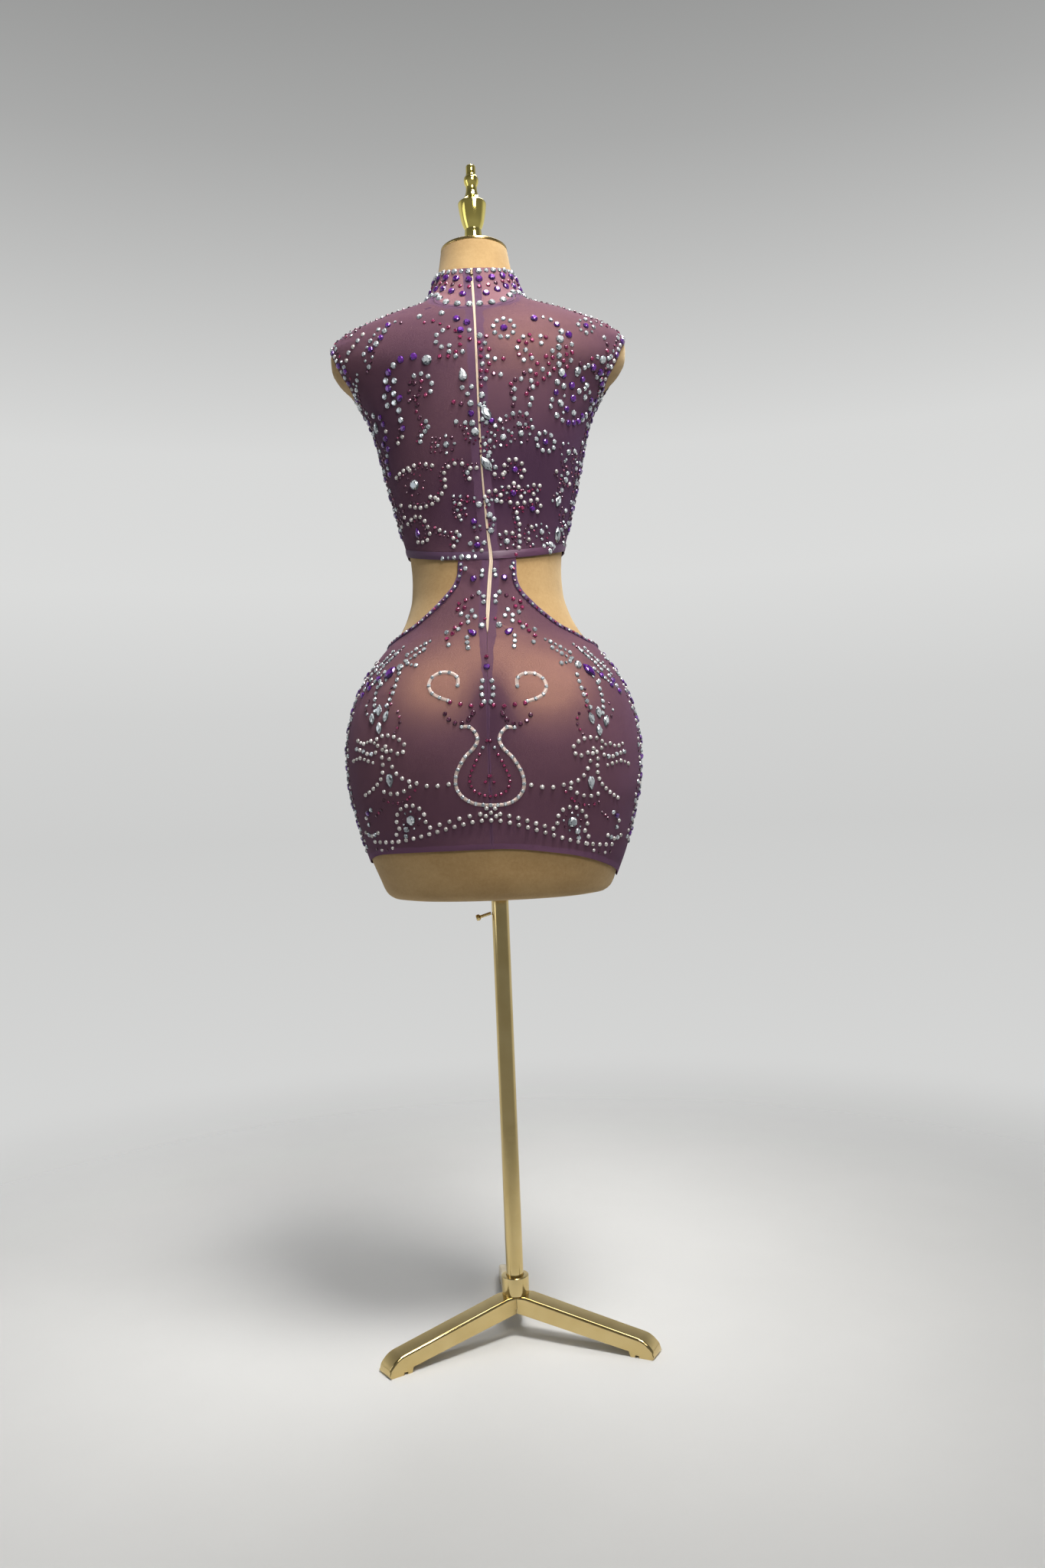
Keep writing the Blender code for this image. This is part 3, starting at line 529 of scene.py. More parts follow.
# Tones of each surface, the deeper first.
TONES = {
    "net": ((0.043, 0.016, 0.048), (0.059, 0.022, 0.061)),
    "doubled net": ((0.046, 0.020, 0.070), (0.060, 0.027, 0.088)),
    "suede under net": ((0.340, 0.175, 0.128), (0.410, 0.215, 0.155)),
    "collar": ((0.080, 0.030, 0.086), (0.104, 0.039, 0.106)),
    "dull band": ((0.046, 0.019, 0.049), (0.062, 0.026, 0.060)),
    # Painted sheen on the band's right side.
    "band painted sheen": ((0.062, 0.023, 0.052), (0.084, 0.032, 0.068)),
    "binding": ((0.052, 0.019, 0.066), (0.084, 0.033, 0.096)),
    "zip tape": ((0.520, 0.400, 0.290), (0.640, 0.520, 0.400)),
    "zip teeth": ((0.420, 0.330, 0.240), (0.560, 0.460, 0.350)),
    "brushed suede": ((0.235, 0.140, 0.055), (0.320, 0.205, 0.088), (0.400, 0.270, 0.125)),
    "suede nap": ((0.270, 0.168, 0.070), (0.400, 0.268, 0.122)),
    "pearl": ((0.300, 0.285, 0.270), (0.480, 0.460, 0.440), (0.660, 0.640, 0.620)),
    "thread": ((0.400, 0.300, 0.270), (0.620, 0.500, 0.450)),
    "floor": ((0.560, 0.566, 0.566), (0.598, 0.604, 0.604)),
}
# Painted shade: a dark net colour mixed in where the cloth lies slack or in shade.
SLACK_NET_AND_PAINTED_SHADE = (0.020, 0.007, 0.022)
HEM_FOLD_COLOUR = (0.135, 0.062, 0.122)
SUEDE_UNDER_COLLAR = (0.350, 0.180, 0.130)
DENSE_COLLAR = (0.062, 0.026, 0.082)

BRASSES = {name: Brass(*row) for name, row in {
    "satin_brass": ((0.610, 0.465, 0.205), (0.690, 0.545, 0.265), 0.11, 0.17),
    "brown_brass": ((0.420, 0.300, 0.110), (0.520, 0.380, 0.150), 0.16, 0.24),
    "polished_brass": ((0.780, 0.640, 0.170), (0.860, 0.740, 0.230), 0.06, 0.10),
    "aged_brass": ((0.120, 0.090, 0.065), (0.250, 0.190, 0.120), 0.30, 0.42),
}.items()}
# Cut stones: deep, middle and light colours over which each facet is painted as a painted reflection, then
# metalness and coat.
GEMS = {colour: Gem(*row) for colour, row in {
    "clear": ((0.045, 0.055, 0.065), (0.300, 0.340, 0.370), (0.820, 0.870, 0.900), 0.55, 0.3),
    "purple": ((0.008, 0.001, 0.020), (0.050, 0.004, 0.120), (0.170, 0.030, 0.360), 0.25, 0.6),
    "magenta": ((0.018, 0.001, 0.007), (0.120, 0.005, 0.040), (0.400, 0.050, 0.150), 0.30, 0.6),
    "dark": ((0.008, 0.002, 0.006), (0.045, 0.008, 0.024), (0.160, 0.050, 0.100), 0.40, 0.4),
}.items()}
GEM_COAT_ROUGHNESS = 0.04
GEM_ROUGHNESS = {"low": 0.20, "high": 0.14}

GEM_PLACES = (0.02, 0.48, 0.97)

# Most of a noise's values lie in this range.
MOST_NOISE = (0.3, 0.7)
MIDDLE_NOISE = (0.25, 0.75)
# The net's pitch, where its yarns end and its holes are open, and how much the holes show: more where the
# cloth is stretched or painted light, less where it is slack or painted shade.
NET = {"pitch": 0.0011, "yarn": 0.08, "hole": 0.45, "plain": 0.27, "stretch_and_painted_light": 1.6, "slack_and_painted_shade": -0.17,
       "slack_and_painted_shade_cover": 0.50, "doubled": 0.20, "layers": 0.80, "collar": 0.62}
# How strongly the hem and its fold show, and half the width over which each of them ends.
HEM_LOOK = {"share": 0.18, "edge": 0.004, "fold_share": 0.55, "fold_edge": 0.0005}
RIB_PITCH = {"binding": 0.0009, "zip": 0.0010, "thread": 0.0012}


class Nodes:
    """A node tree, with short calls for the nodes that these looks are made of."""

    def __init__(self, tree):
        self.tree = tree

    def node(self, kind, **settings):
        made = self.tree.nodes.new(f"ShaderNode{kind}")
        for name, value in settings.items():
            setattr(made, name, value)
        return made

    def link(self, value, socket):
        """Feeds a socket from another node's output, or sets it where the value is plain."""
        if isinstance(value, bpy.types.NodeSocket):
            self.tree.links.new(value, socket)
        else:
            socket.default_value = value

    def attribute(self, name, output="Fac"):
        return self.node("Attribute", attribute_name=name).outputs[output]

    def place(self):
        """The place on the cut cloth, in metres across and along it."""
        return self.attribute("cut_place", "Vector")

    def object_place(self):
        return self.node("TexCoord").outputs["Object"]

    def parts(self, vector):
        """The three parts of a vector, by the names of their axes."""
        made = self.node("SeparateXYZ")
        self.link(vector, made.inputs[0])
        return made.outputs

    def math(self, operation, first, second=0.0):
        made = self.node("Math", operation=operation)
        self.link(first, made.inputs[0])
        self.link(second, made.inputs[1])
        return made.outputs[0]

    def wave(self, value, pitch):
        """A wave from -1 to 1 that repeats at a pitch."""
        return self.math("SINE", self.math("MULTIPLY", value, 2 * math.pi / pitch))

    def noise(self, scale, detail=3.0, roughness=0.55, at=None, stretch=None):
        """Soft noise from 0 to 1, over the object or over the places given."""
        made = self.node("TexNoise")
        made.inputs["Scale"].default_value = scale
        made.inputs["Detail"].default_value = detail
        made.inputs["Roughness"].default_value = roughness
        source = at if at is not None else self.object_place()
        if stretch is not None:
            mapping = self.node("Mapping")
            mapping.inputs["Scale"].default_value = stretch
            self.link(source, mapping.inputs["Vector"])
            source = mapping.outputs["Vector"]
        self.link(source, made.inputs["Vector"])
        return made.outputs["Fac"]

    def ramp(self, value, places, colours):
        """Colours at places from 0 to 1, and mixed between them."""
        made = self.node("ValToRGB")
        elements = made.color_ramp.elements
        while len(elements) < len(places):
            elements.new(0.5)
        for element, place, colour in zip(elements, places, colours):
            element.position = place
            element.color = (*colour, 1.0)
        self.link(value, made.inputs["Fac"])
        return made.outputs["Color"]

    def span(self, value, low, high, to_low=0.0, to_high=1.0, soft=False):
        """A value moved from one range to another and kept inside it."""
        made = self.node("MapRange", clamp=True, interpolation_type="SMOOTHSTEP" if soft else "LINEAR")
        for socket, number in zip(made.inputs[1:5], (low, high, to_low, to_high)):
            socket.default_value = number
        self.link(value, made.inputs["Value"])
        return made.outputs["Result"]

    def mix(self, share, first, second):
        """Two colours mixed by a share."""
        made = self.node("Mix", data_type="RGBA")
        colours = [socket for socket in made.inputs if socket.type == "RGBA"]
        self.link(share, made.inputs["Factor"])
        for socket, colour in zip(colours, (first, second)):
            self.link((*colour, 1.0) if isinstance(colour, tuple) else colour, socket)
        return [socket for socket in made.outputs if socket.type == "RGBA"][0]

    def bump(self, height, distance, strength=1.0, onto=None):
        made = self.node("Bump")
        made.inputs["Distance"].default_value = distance
        made.inputs["Strength"].default_value = strength
        self.link(height, made.inputs["Height"])
        if onto is not None:
            self.link(onto, made.inputs["Normal"])
        return made.outputs["Normal"]


class Shader(Nodes):
    """A material, with the finish that its name has in the table."""

    def __init__(self, name, **values):
        self.material = bpy.data.materials.new(name)
        self.material.use_nodes = True
        super().__init__(self.material.node_tree)
        self.surface = self.tree.nodes["Principled BSDF"]
        for socket, value in {**FINISHES.get(name, {}), **values}.items():
            self.surface.inputs[socket.replace("_", " ")].default_value = value

    def feed(self, name, value):
        self.link(value, self.surface.inputs[name])

    def toned(self, value, tones, low=MOST_NOISE[0], high=MOST_NOISE[1]):
        """The tones of a surface, mixed as a value goes from low to high."""
        colours = TONES[tones]
        return self.ramp(value, np.linspace(low, high, len(colours)), colours)


def net_of(shader):
    """How open a fine knitted net is at each place: 0 on its yarns and 1 in its holes."""
    parts = shader.parts(shader.place())
    slants = [shader.wave(shader.math(operation, parts["X"], parts["Y"]), NET["pitch"])
              for operation in ("ADD", "SUBTRACT")]
    crossed = shader.math("ABSOLUTE", shader.math("MULTIPLY", *slants))
    return shader.span(crossed, NET["yarn"], NET["hole"], soft=True)


def uneven(shader, value, reach):
    """A distance made a little uneven, so that the edge drawn from it isn't ruled."""
    noise = shader.noise(scale=45.0, detail=2.0, at=shader.place())
    return shader.math("ADD", value, shader.span(noise, *MOST_NOISE, -reach, reach))


def inside(shader, depth, reach):
    """1 where a depth inside a strip is above zero and 0 where it is below, softly across its edge."""
    blur = 0.0006
    return shader.span(uneven(shader, depth, reach), -blur, blur, soft=True)


def make_mesh_cloth():
    """Sheer stretch net: purple yarns, the suede showing through its holes, denser where it lies doubled,
    more open where it is stretched or painted light, and darker where it is slack or painted shade.
    """
    shader = Shader("sheer_purple_mesh")
    holes = net_of(shader)
    drift = shader.noise(scale=9.0, at=shader.place())
    net, suede, doubled_net = (shader.toned(drift, name, *MIDDLE_NOISE)
                               for name in ("net", "suede under net", "doubled net"))
    # Painted light and shade: the net is painted more open on lit places and darker on shaded ones, as well
    # as where it is stretched or slack.
    stretch_and_painted_light = shader.attribute("stretch_and_painted_light")
    openness = shader.math("ADD", shader.span(stretch_and_painted_light, 0.0, 1.0, NET["plain"], NET["stretch_and_painted_light"]),
                           shader.span(stretch_and_painted_light, -1.0, 0.0, NET["slack_and_painted_shade"], 0.0))
    open_net = shader.mix(shader.math("MULTIPLY", holes, openness), net, suede)
    slack_and_painted_shade = shader.span(stretch_and_painted_light, -1.0, 0.0, NET["slack_and_painted_shade_cover"], 0.0)
    single = shader.mix(slack_and_painted_shade, open_net, SLACK_NET_AND_PAINTED_SHADE)
    doubled = shader.mix(shader.math("MULTIPLY", holes, NET["doubled"]), doubled_net, suede)
    layers = inside(shader, shader.attribute("doubled"), reach=0.0012)
    cloth = shader.mix(shader.math("MULTIPLY", layers, NET["layers"]), single, doubled)
    from_hem = uneven(shader, shader.attribute("hem"), reach=0.0008)
    hem = shader.span(from_hem, HEM_STRIP - HEM_LOOK["edge"], HEM_STRIP + HEM_LOOK["edge"],
                      HEM_LOOK["share"], 0.0, soft=True)
    fold = shader.span(from_hem, HEM_FOLD - HEM_LOOK["fold_edge"], HEM_FOLD + HEM_LOOK["fold_edge"],
                       HEM_LOOK["fold_share"], 0.0, soft=True)
    shader.feed("Base Color", shader.mix(fold, shader.mix(hem, cloth, doubled), HEM_FOLD_COLOUR))
    slubs = shader.noise(scale=420.0, detail=2.0, at=shader.place(), stretch=(1.0, 0.25, 1.0))
    fine = shader.bump(holes, distance=0.00018, strength=0.55)
    shader.feed("Normal", shader.bump(slubs, distance=0.00020, strength=0.35, onto=fine))
    return shader.material


def make_collar_cloth():
    """Two layers of the net, closer and a little glossier."""
    shader = Shader("doubled_purple_mesh")
    holes = net_of(shader)
    drift = shader.noise(scale=22.0, at=shader.place())
    yarns = shader.toned(drift, "collar", *MIDDLE_NOISE)
    base = shader.mix(shader.math("MULTIPLY", holes, NET["collar"]), yarns, SUEDE_UNDER_COLLAR)
    dense = shader.mix(shader.math("MULTIPLY", holes, NET["doubled"]), DENSE_COLLAR, SUEDE_UNDER_COLLAR)
    layers = inside(shader, shader.attribute("doubled"), reach=0.0008)
    shader.feed("Base Color", shader.mix(layers, base, dense))
    shader.feed("Roughness", shader.span(drift, *MOST_NOISE, to_low=0.66, to_high=0.76))
    shader.feed("Normal", shader.bump(holes, distance=0.00018, strength=0.5))
    return shader.material


def make_band_cloth():
    """The folded band: glossier on its right and painted a lighter purple there as painted sheen, dull beside
    it.
    """
    shader = Shader("satiny_purple_band")
    drift = shader.noise(scale=26.0, at=shader.place(), stretch=(1.0, 6.0, 1.0))
    # Painted sheen: a lighter purple, and a lower roughness, where the band shines.
    gloss_and_painted_sheen = shader.attribute("gloss_and_painted_sheen")
    shader.feed("Base Color", shader.mix(shader.span(gloss_and_painted_sheen, 0.0, 1.0), shader.toned(drift, "dull band"),
                                         shader.toned(drift, "band painted sheen")))
    shader.feed("Roughness", shader.span(gloss_and_painted_sheen, 0.0, 1.0, to_low=0.70, to_high=0.50))
    folds = shader.noise(scale=60.0, at=shader.place(), stretch=(1.0, 5.0, 1.0))
    shader.feed("Normal", shader.bump(folds, distance=0.0006, strength=0.5))
    return shader.material


def make_ribbed_cloth(name, tones, axis, pitch, scale, distance, strength):
    """A strip with fine ribs across one of its axes."""
    shader = Shader(name)
    ribs = shader.wave(shader.parts(shader.place())[axis], pitch)
    shader.feed("Base Color", shader.toned(shader.noise(scale, at=shader.place()), tones))
    shader.feed("Normal", shader.bump(ribs, distance, strength))
    return shader.material


def make_zip_teeth():
    shader = Shader("cream_zip_teeth")
    drift = shader.noise(scale=900.0)
    shader.feed("Base Color", shader.toned(drift, "zip teeth"))
    shader.feed("Roughness", shader.span(drift, *MOST_NOISE, to_low=0.32, to_high=0.46))
    return shader.material


def make_suede():
    """Tan suede: a short nap brushed lighter and darker in soft patches."""
    shader = Shader("tan_suede")
    brushed = shader.noise(scale=15.0, detail=6.0, roughness=0.66, stretch=(0.8, 0.8, 1.2))
    nap = shader.noise(scale=240.0, detail=4.0, roughness=0.7)
    nap_share = 0.35
    shader.feed("Base Color", shader.mix(nap_share, shader.toned(brushed, "brushed suede"),
                                         shader.toned(nap, "suede nap")))
    shader.feed("Normal", shader.bump(nap, distance=0.00050, strength=0.45))
    return shader.material


def make_brass(name):
    """Brass, a little uneven in colour and gloss."""
    brass = BRASSES[name]
    shader = Shader(name, Metallic=1.0)
    drift = shader.noise(scale=28.0, detail=4.0)
    marks = shader.noise(scale=70.0, detail=5.0, roughness=0.7)
    shader.feed("Base Color", shader.ramp(drift, MOST_NOISE, (brass.deep, brass.light)))
    shader.feed("Roughness", shader.span(marks, *MOST_NOISE, brass.smooth, brass.rough))
    return shader.material


def make_gem(colour):
    """Cut glass on foil: each facet is painted its own depth of colour, light or dark, as painted
    reflections.
    """
    gem = GEMS[colour]
    shader = Shader(f"{colour}_crystal", Metallic=gem.metal, Coat_Weight=gem.coat,
                    Coat_Roughness=GEM_COAT_ROUGHNESS)
    facet_tone_and_painted_reflection = shader.attribute("facet_tone_and_painted_reflection")
    shader.feed("Base Color", shader.ramp(facet_tone_and_painted_reflection, GEM_PLACES, (gem.deep, gem.middle, gem.light)))
    shader.feed("Roughness", shader.span(facet_tone_and_painted_reflection, 0.0, 1.0, GEM_ROUGHNESS["low"], GEM_ROUGHNESS["high"]))
    return shader.material


def make_pearl():
    """Domed beads with a soft lustre, each a little lighter or darker."""
    shader = Shader("pearl_bead")
    shader.feed("Base Color", shader.toned(shader.attribute("facet_tone_and_painted_reflection"), "pearl", low=0.05, high=0.95))
    return shader.material


def make_thread():
    """Pale twisted thread under the scrolls, painted darker in the grooves of its twist as painted shade."""
    shader = Shader("pale_silver_thread")
    parts = shader.parts(shader.place())
    twist = shader.wave(shader.math("ADD", parts["X"], parts["Y"]), RIB_PITCH["thread"])
    # Painted shade: the colour follows the twist's bump, darker in its grooves and lighter on its ridges.
    shader.feed("Base Color", shader.toned(shader.span(twist, -1.0, 1.0), "thread", low=0.1, high=0.9))
    shader.feed("Normal", shader.bump(twist, distance=0.00015, strength=0.8))
    return shader.material


def make_materials():
    return {
        "mesh": make_mesh_cloth(),
        "collar": make_collar_cloth(),
        "band": make_band_cloth(),
        "binding": make_ribbed_cloth("dark_purple_binding", "binding", "X", RIB_PITCH["binding"], scale=60.0,
                                     distance=0.00012, strength=0.5),
        "zip_tape": make_ribbed_cloth("cream_zip_tape", "zip tape", "Y", RIB_PITCH["zip"], scale=50.0,
                                      distance=0.00010, strength=0.6),
        "zip_teeth": make_zip_teeth(),
        "suede": make_suede(),
        "brass": make_brass("satin_brass"),
        "disc": make_brass("brown_brass"),
        "polished": make_brass("polished_brass"),
        "slider": make_brass("aged_brass"),
        **{colour: make_gem(colour) for colour in GEMS},
        "pearl": make_pearl(),
        "thread": make_thread(),
    }


# Meshes


def new_piece(name, mesh, material, body="form"):
    """A piece of the object that moves with one of its bodies."""
    mesh.materials.clear()
    mesh.materials.append(MATERIALS[material])
    obj = bpy.data.objects.new(name, mesh)
    bpy.context.scene.collection.objects.link(obj)
    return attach(obj, body)


def set_numbers(mesh, name, values, domain="POINT"):
    attribute = mesh.attributes.new(name, "FLOAT", domain)
    attribute.data.foreach_set("value", np.asarray(values, np.float32).ravel())


def set_places(mesh, name, places):
    attribute = mesh.attributes.new(name, "FLOAT_VECTOR", "POINT")
    attribute.data.foreach_set("vector", np.asarray(places, np.float32).ravel())


def smoothed(mesh, sharp_degrees):
    """A mesh shaded smooth, but sharp past an angle."""
    mesh.shade_smooth()
    mesh.set_sharp_from_angle(angle=math.radians(sharp_degrees))
    return mesh


def mesh_from_arrays(name, points, faces, sharp_degrees=None):
    """A mesh from arrays, flat all over, or smooth and sharp past an angle."""
    mesh = bpy.data.meshes.new(name)
    mesh.from_pydata(np.asarray(points).tolist(), [], faces)
    mesh.update()
    if sharp_degrees is None:
        mesh.shade_flat()
        return mesh
    return smoothed(mesh, sharp_degrees)


def grid_faces(rows, columns, first=0, turned=False):
    faces = []
    for row in range(rows - 1):
        for column in range(columns - 1):
            a = first + row * columns + column
            corners = (a, a + 1, a + columns + 1, a + columns)
            faces.append(corners[::-1] if turned else corners)
    return faces


def shell_faces(rows, columns):
    """The faces of a thin closed shell between two grids of points of the same size."""
    count = rows * columns
    faces = grid_faces(rows, columns, 0, turned=True) + grid_faces(rows, columns, count)
    bottom = list(range(columns))
    right = [row * columns + columns - 1 for row in range(rows)]
    top = [(rows - 1) * columns + column for column in range(columns)][::-1]
    left = [row * columns for row in range(rows)][::-1]
    rim = bottom[:-1] + right[:-1] + top[:-1] + left[:-1]
    for a, b in zip(rim, rim[1:] + rim[:1]):
        faces.append((a, b, b + count, a + count))
    return faces


def cut_places(points):
    """Places on the cut cloth: metres across each row from its middle column, and up each column."""
    across = np.linalg.norm(np.diff(points, axis=1), axis=2)
    up = np.linalg.norm(np.diff(points, axis=0), axis=2)
    across = np.concatenate([np.zeros((points.shape[0], 1)), np.cumsum(across, axis=1)], axis=1)
    across = across - across[:, points.shape[1] // 2][:, None]
    up = np.concatenate([np.zeros((1, points.shape[1])), np.cumsum(up, axis=0)], axis=0)
    return np.stack([across, up, np.zeros_like(up)], axis=-1)


def crease_rise(angle, height):
    """How far the creases lift the cloth at each place, in metres."""
    x = form_point(angle, height)[..., 0] / MM
    z = np.asarray(height) / MM
    at_back = np.sin(angle) < 0
    rise = np.zeros_like(x)
    for crease in CREASES:
        start, end = np.array(crease.start, float), np.array(crease.end, float)
        along = end - start
        share = ((x - start[0]) * along[0] + (z - start[1]) * along[1]) / (along @ along)
        share = np.clip(share, 0, 1)
        off = np.hypot(x - start[0] - share * along[0], z - start[1] - share * along[1])
        inner = np.clip(share, CREASE_END["share"], 1 - CREASE_END["share"])
        ends = np.sin(math.pi * inner) ** CREASE_END["bend"]
        bump = crease.rise * ends * np.exp(-((off / crease.width) ** 2))
        rise = rise + np.where(at_back == crease.at_back, bump, 0.0)
    return rise * MM


def cloth_outside(angle, height):
    """How far the outer face of the dress's cloth stands off the form."""
    return np.maximum(CLOTH_OUTSIDE + crease_rise(angle, height), LEAST_LIFT + SHELL)


def stretch_and_painted_light_share(angle, height):
    """How much lighter the cloth is painted at each place, from 1 down through 0 to -1 where it is painted
    darker: partly where it is stretched or slack, partly painted light and painted shade.
    """
    x = form_point(angle, height)[..., 0]
    share = np.zeros_like(x)
    for across, up, reach_across, reach_up, strength in STRETCH_AND_PAINTED_LIGHT:
        near = np.exp(-(((x - across) / reach_across) ** 2) - ((height - up) / reach_up) ** 2)
        share = share + strength * near
    share = np.where((np.sin(angle) > 0) & (share > 0), FRONT_SHARE_OF_STRETCH_AND_LIGHT * share, share)
    return np.clip(share, -1, 1)


def back_patch_half(height):
    """Half the width of the doubled patch below the zip's end, none outside its heights."""
    patch = BACK_PATCH
    down = (patch["top"] - height) / (patch["top"] - patch["bottom"])
    narrowed = np.clip(down, 0, 1) ** patch["bend"]
    half = patch["top_half"] + (patch["bottom_half"] - patch["top_half"]) * narrowed
    return np.where((down >= 0) & (down <= 1), half, NO_STRIP)


def doubled_depth(angle, height):
    """How deep inside a doubled strip each place is, in metres, and below zero outside them all."""
    x = form_point(angle, height)[..., 0]
    at_back = np.sin(angle) < 0
    from_centre = np.abs(x - zip_across(height))
    beside_zip = np.where(height > ZIP_END, TAPE_STRIP, back_patch_half(height)) - from_centre
    centre_seam = np.where(height < ZIP_END, SEAM_STRIP, NO_STRIP) - from_centre
    behind = np.where(at_back, np.maximum(beside_zip, centre_seam), NO_STRIP)
    depth = smooth_column(FORM_RINGS, "back", height)
    from_side = np.abs(np.sin(angle)) * depth
    near_side = np.abs(np.cos(angle)) > 0.5
    sides = np.where(near_side, SEAM_STRIP - from_side, NO_STRIP)
    neck = NECK_SEAM - np.abs(height - edge_height(NECKLINE, angle))
    return np.maximum.reduce([behind, sides, neck])


def shell_piece(name, grid, outside, material, nodes, thickness=SHELL):
    """A thin closed shell of cloth on the form, in place of the solids that it stands for."""
    angles, heights = grid
    outer = lifted_point(angles, heights, outside)
    inner = lifted_point(angles, heights, outside - thickness)
    rows, columns = angles.shape
    points = np.concatenate([inner.reshape(-1, 3), outer.reshape(-1, 3)])
    mesh = mesh_from_arrays(name, points, shell_faces(rows, columns), SHARP["cloth"])
    places = cut_places(outer).reshape(-1, 3)
    set_places(mesh, "cut_place", np.concatenate([places, places]))
    for attribute, values in (
        ("doubled", doubled_depth(angles, heights)),
        ("hem", heights - hem_height(angles)),
        ("stretch_and_painted_light", stretch_and_painted_light_share(angles, heights)),
    ):
        set_numbers(mesh, attribute, np.concatenate([values.ravel(), values.ravel()]))
    obj = new_piece(name, mesh, material)
    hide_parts(*nodes)
    return obj


# The dress's cloth


def add_skirt_cloth():
    top = edge_level(BODICE_EDGE, -SEAM_GAP)
    bends = (CUTOUT_SIDE_HEIGHT, *(point.height for point in CUTOUT_EDGE[:3]))
    panels = (
        ("skirt_back_left", (LEFT, BACK), (skirt_edge(-1, True), centre_back(-1)),
         [level(height + DRESS_TILT) for height in bends], SHELL_COLUMNS),
        ("skirt_back_right", (BACK, RIGHT), (centre_back(1), skirt_edge(1, True)),
         [level(height - DRESS_TILT) for height in bends], SHELL_COLUMNS),
        ("skirt_front", (0.0, LEFT), (skirt_edge(1, False), skirt_edge(-1, False)),
         [tilted_level(height) for height in bends], 2 * SHELL_COLUMNS),
    )
    for name, span, edges, turning, columns in panels:
        grid = panel_grid(span, edges, (hem_height, *turning, top), SHELL_SKIRT_ROWS, columns)
        shell_piece(f"{name}_cloth", grid, cloth_outside(*grid), "mesh", [name])


def add_bodice_cloth():
    levels = (
        edge_level(BODICE_EDGE, BAND_HEIGHT + SEAM_GAP),
        level(ARMHOLE_CENTRE - ARMHOLE_HALF_HEIGHT),
        level(ARMHOLE_CENTRE + ARMHOLE_HALF_HEIGHT),
        edge_level(SHOULDER_TURN),
        edge_level(NECKLINE),
    )
    panels = (
        ("bodice_front", (0.0, LEFT), (armhole_edge(0.0, 1), armhole_edge(LEFT, -1)), 2 * SHELL_COLUMNS),
        ("bodice_back_left", (LEFT, BACK), (armhole_edge(LEFT, 1), centre_back(-1)), SHELL_COLUMNS),
        ("bodice_back_right", (BACK, RIGHT), (centre_back(1), armhole_edge(RIGHT, -1)), SHELL_COLUMNS),
    )
    for name, span, edges, columns in panels:
        grid = panel_grid(span, edges, levels, SHELL_BODICE_ROWS, columns, ARMHOLE_SECTION)
        shell_piece(f"{name}_cloth", grid, cloth_outside(*grid), "mesh", [name])


def ring_grid(low, high, rows):
    """A strip that runs once round the form, from the right side of the zip to its left."""
    edges = (lambda height: centre_back(1)(height) - 2 * math.pi, centre_back(-1))
    return panel_grid((BACK - 2 * math.pi, BACK), edges, (low, high), (rows,), SHELL_RING_COLUMNS)


def add_collar_cloth():
    grid = ring_grid(edge_level(NECKLINE, SEAM_GAP), edge_level(COLLAR_TOP), SHELL_COLLAR_ROWS)
    shell_piece("collar_cloth", grid, np.full(grid[0].shape, CLOTH_OUTSIDE), "collar", ["collar"])


def band_gloss_and_painted_sheen(angles, heights):
    """Where the band is glossier and painted lighter as painted sheen: on its right from the zip, and less
    all along the front.
    """
    x = form_point(angles, heights)[..., 0]
    at_back = np.sin(angles) < 0
    grown = np.clip((x - BAND_GLOSS_AND_PAINTED_SHEEN["start"]) / BAND_GLOSS_AND_PAINTED_SHEEN["grows_over"], 0, 1)
    right = grown * np.clip((BAND_GLOSS_AND_PAINTED_SHEEN["end"] - x) / BAND_GLOSS_AND_PAINTED_SHEEN["fades_over"], 0, 1)
    return np.where(at_back, right, BAND_GLOSS_AND_PAINTED_SHEEN["in_front"])


def add_band_cloth():
    """The folded band, a little fuller along its middle, with a fold beside the zip."""
    grid = ring_grid(edge_level(BODICE_EDGE), edge_level(BODICE_EDGE, BAND_HEIGHT), SHELL_BAND_ROWS)
    angles, heights = grid
    share = (heights - edge_height(BODICE_EDGE, angles)) / BAND_HEIGHT
    x = form_point(angles, heights)[..., 0]
    fold = np.exp(-(((x - BAND_FOLD["across"]) / BAND_FOLD["reach"]) ** 2))
    fold = np.where(np.sin(angles) < 0, fold, 0.0)
    outside = CLOTH_LIFT + DOUBLED_WALL + BAND_SWELL * np.sin(math.pi * np.clip(share, 0, 1))
    outside = outside + fold * BAND_FOLD["rise"] * np.clip(1 - share, 0, 1)
    obj = shell_piece("bodice_band_cloth", grid, outside, "band", ["bodice_band"], 2 * SHELL)
    gloss_and_painted_sheen = band_gloss_and_painted_sheen(angles, heights).ravel()
    set_numbers(obj.data, "gloss_and_painted_sheen", np.concatenate([gloss_and_painted_sheen, gloss_and_painted_sheen]))


def binding_path(side):
    """The line along a cut-out's edge, from the bodice's back round the side to its front, in even steps."""
    back_angles, back_heights = cutout_curve(side, True)
    front_angles, front_heights = cutout_curve(side, False)
    if side > 0:
        back_angles = back_angles - 2 * math.pi
    below_bodice = 3 * SEAM_GAP
    keep_back = back_heights < BODICE_EDGE.back - below_bodice
    keep_front = front_heights < BODICE_EDGE.front - below_bodice
    angles = np.concatenate([back_angles[keep_back][::-1], front_angles[keep_front]])
    heights = np.concatenate([back_heights[keep_back][::-1], front_heights[keep_front]])
    lengths = lengths_along(form_point(angles, heights))
    even = np.linspace(0, lengths[-1], BINDING_STEPS + 1)
    return np.interp(even, lengths, angles), np.interp(even, lengths, heights)


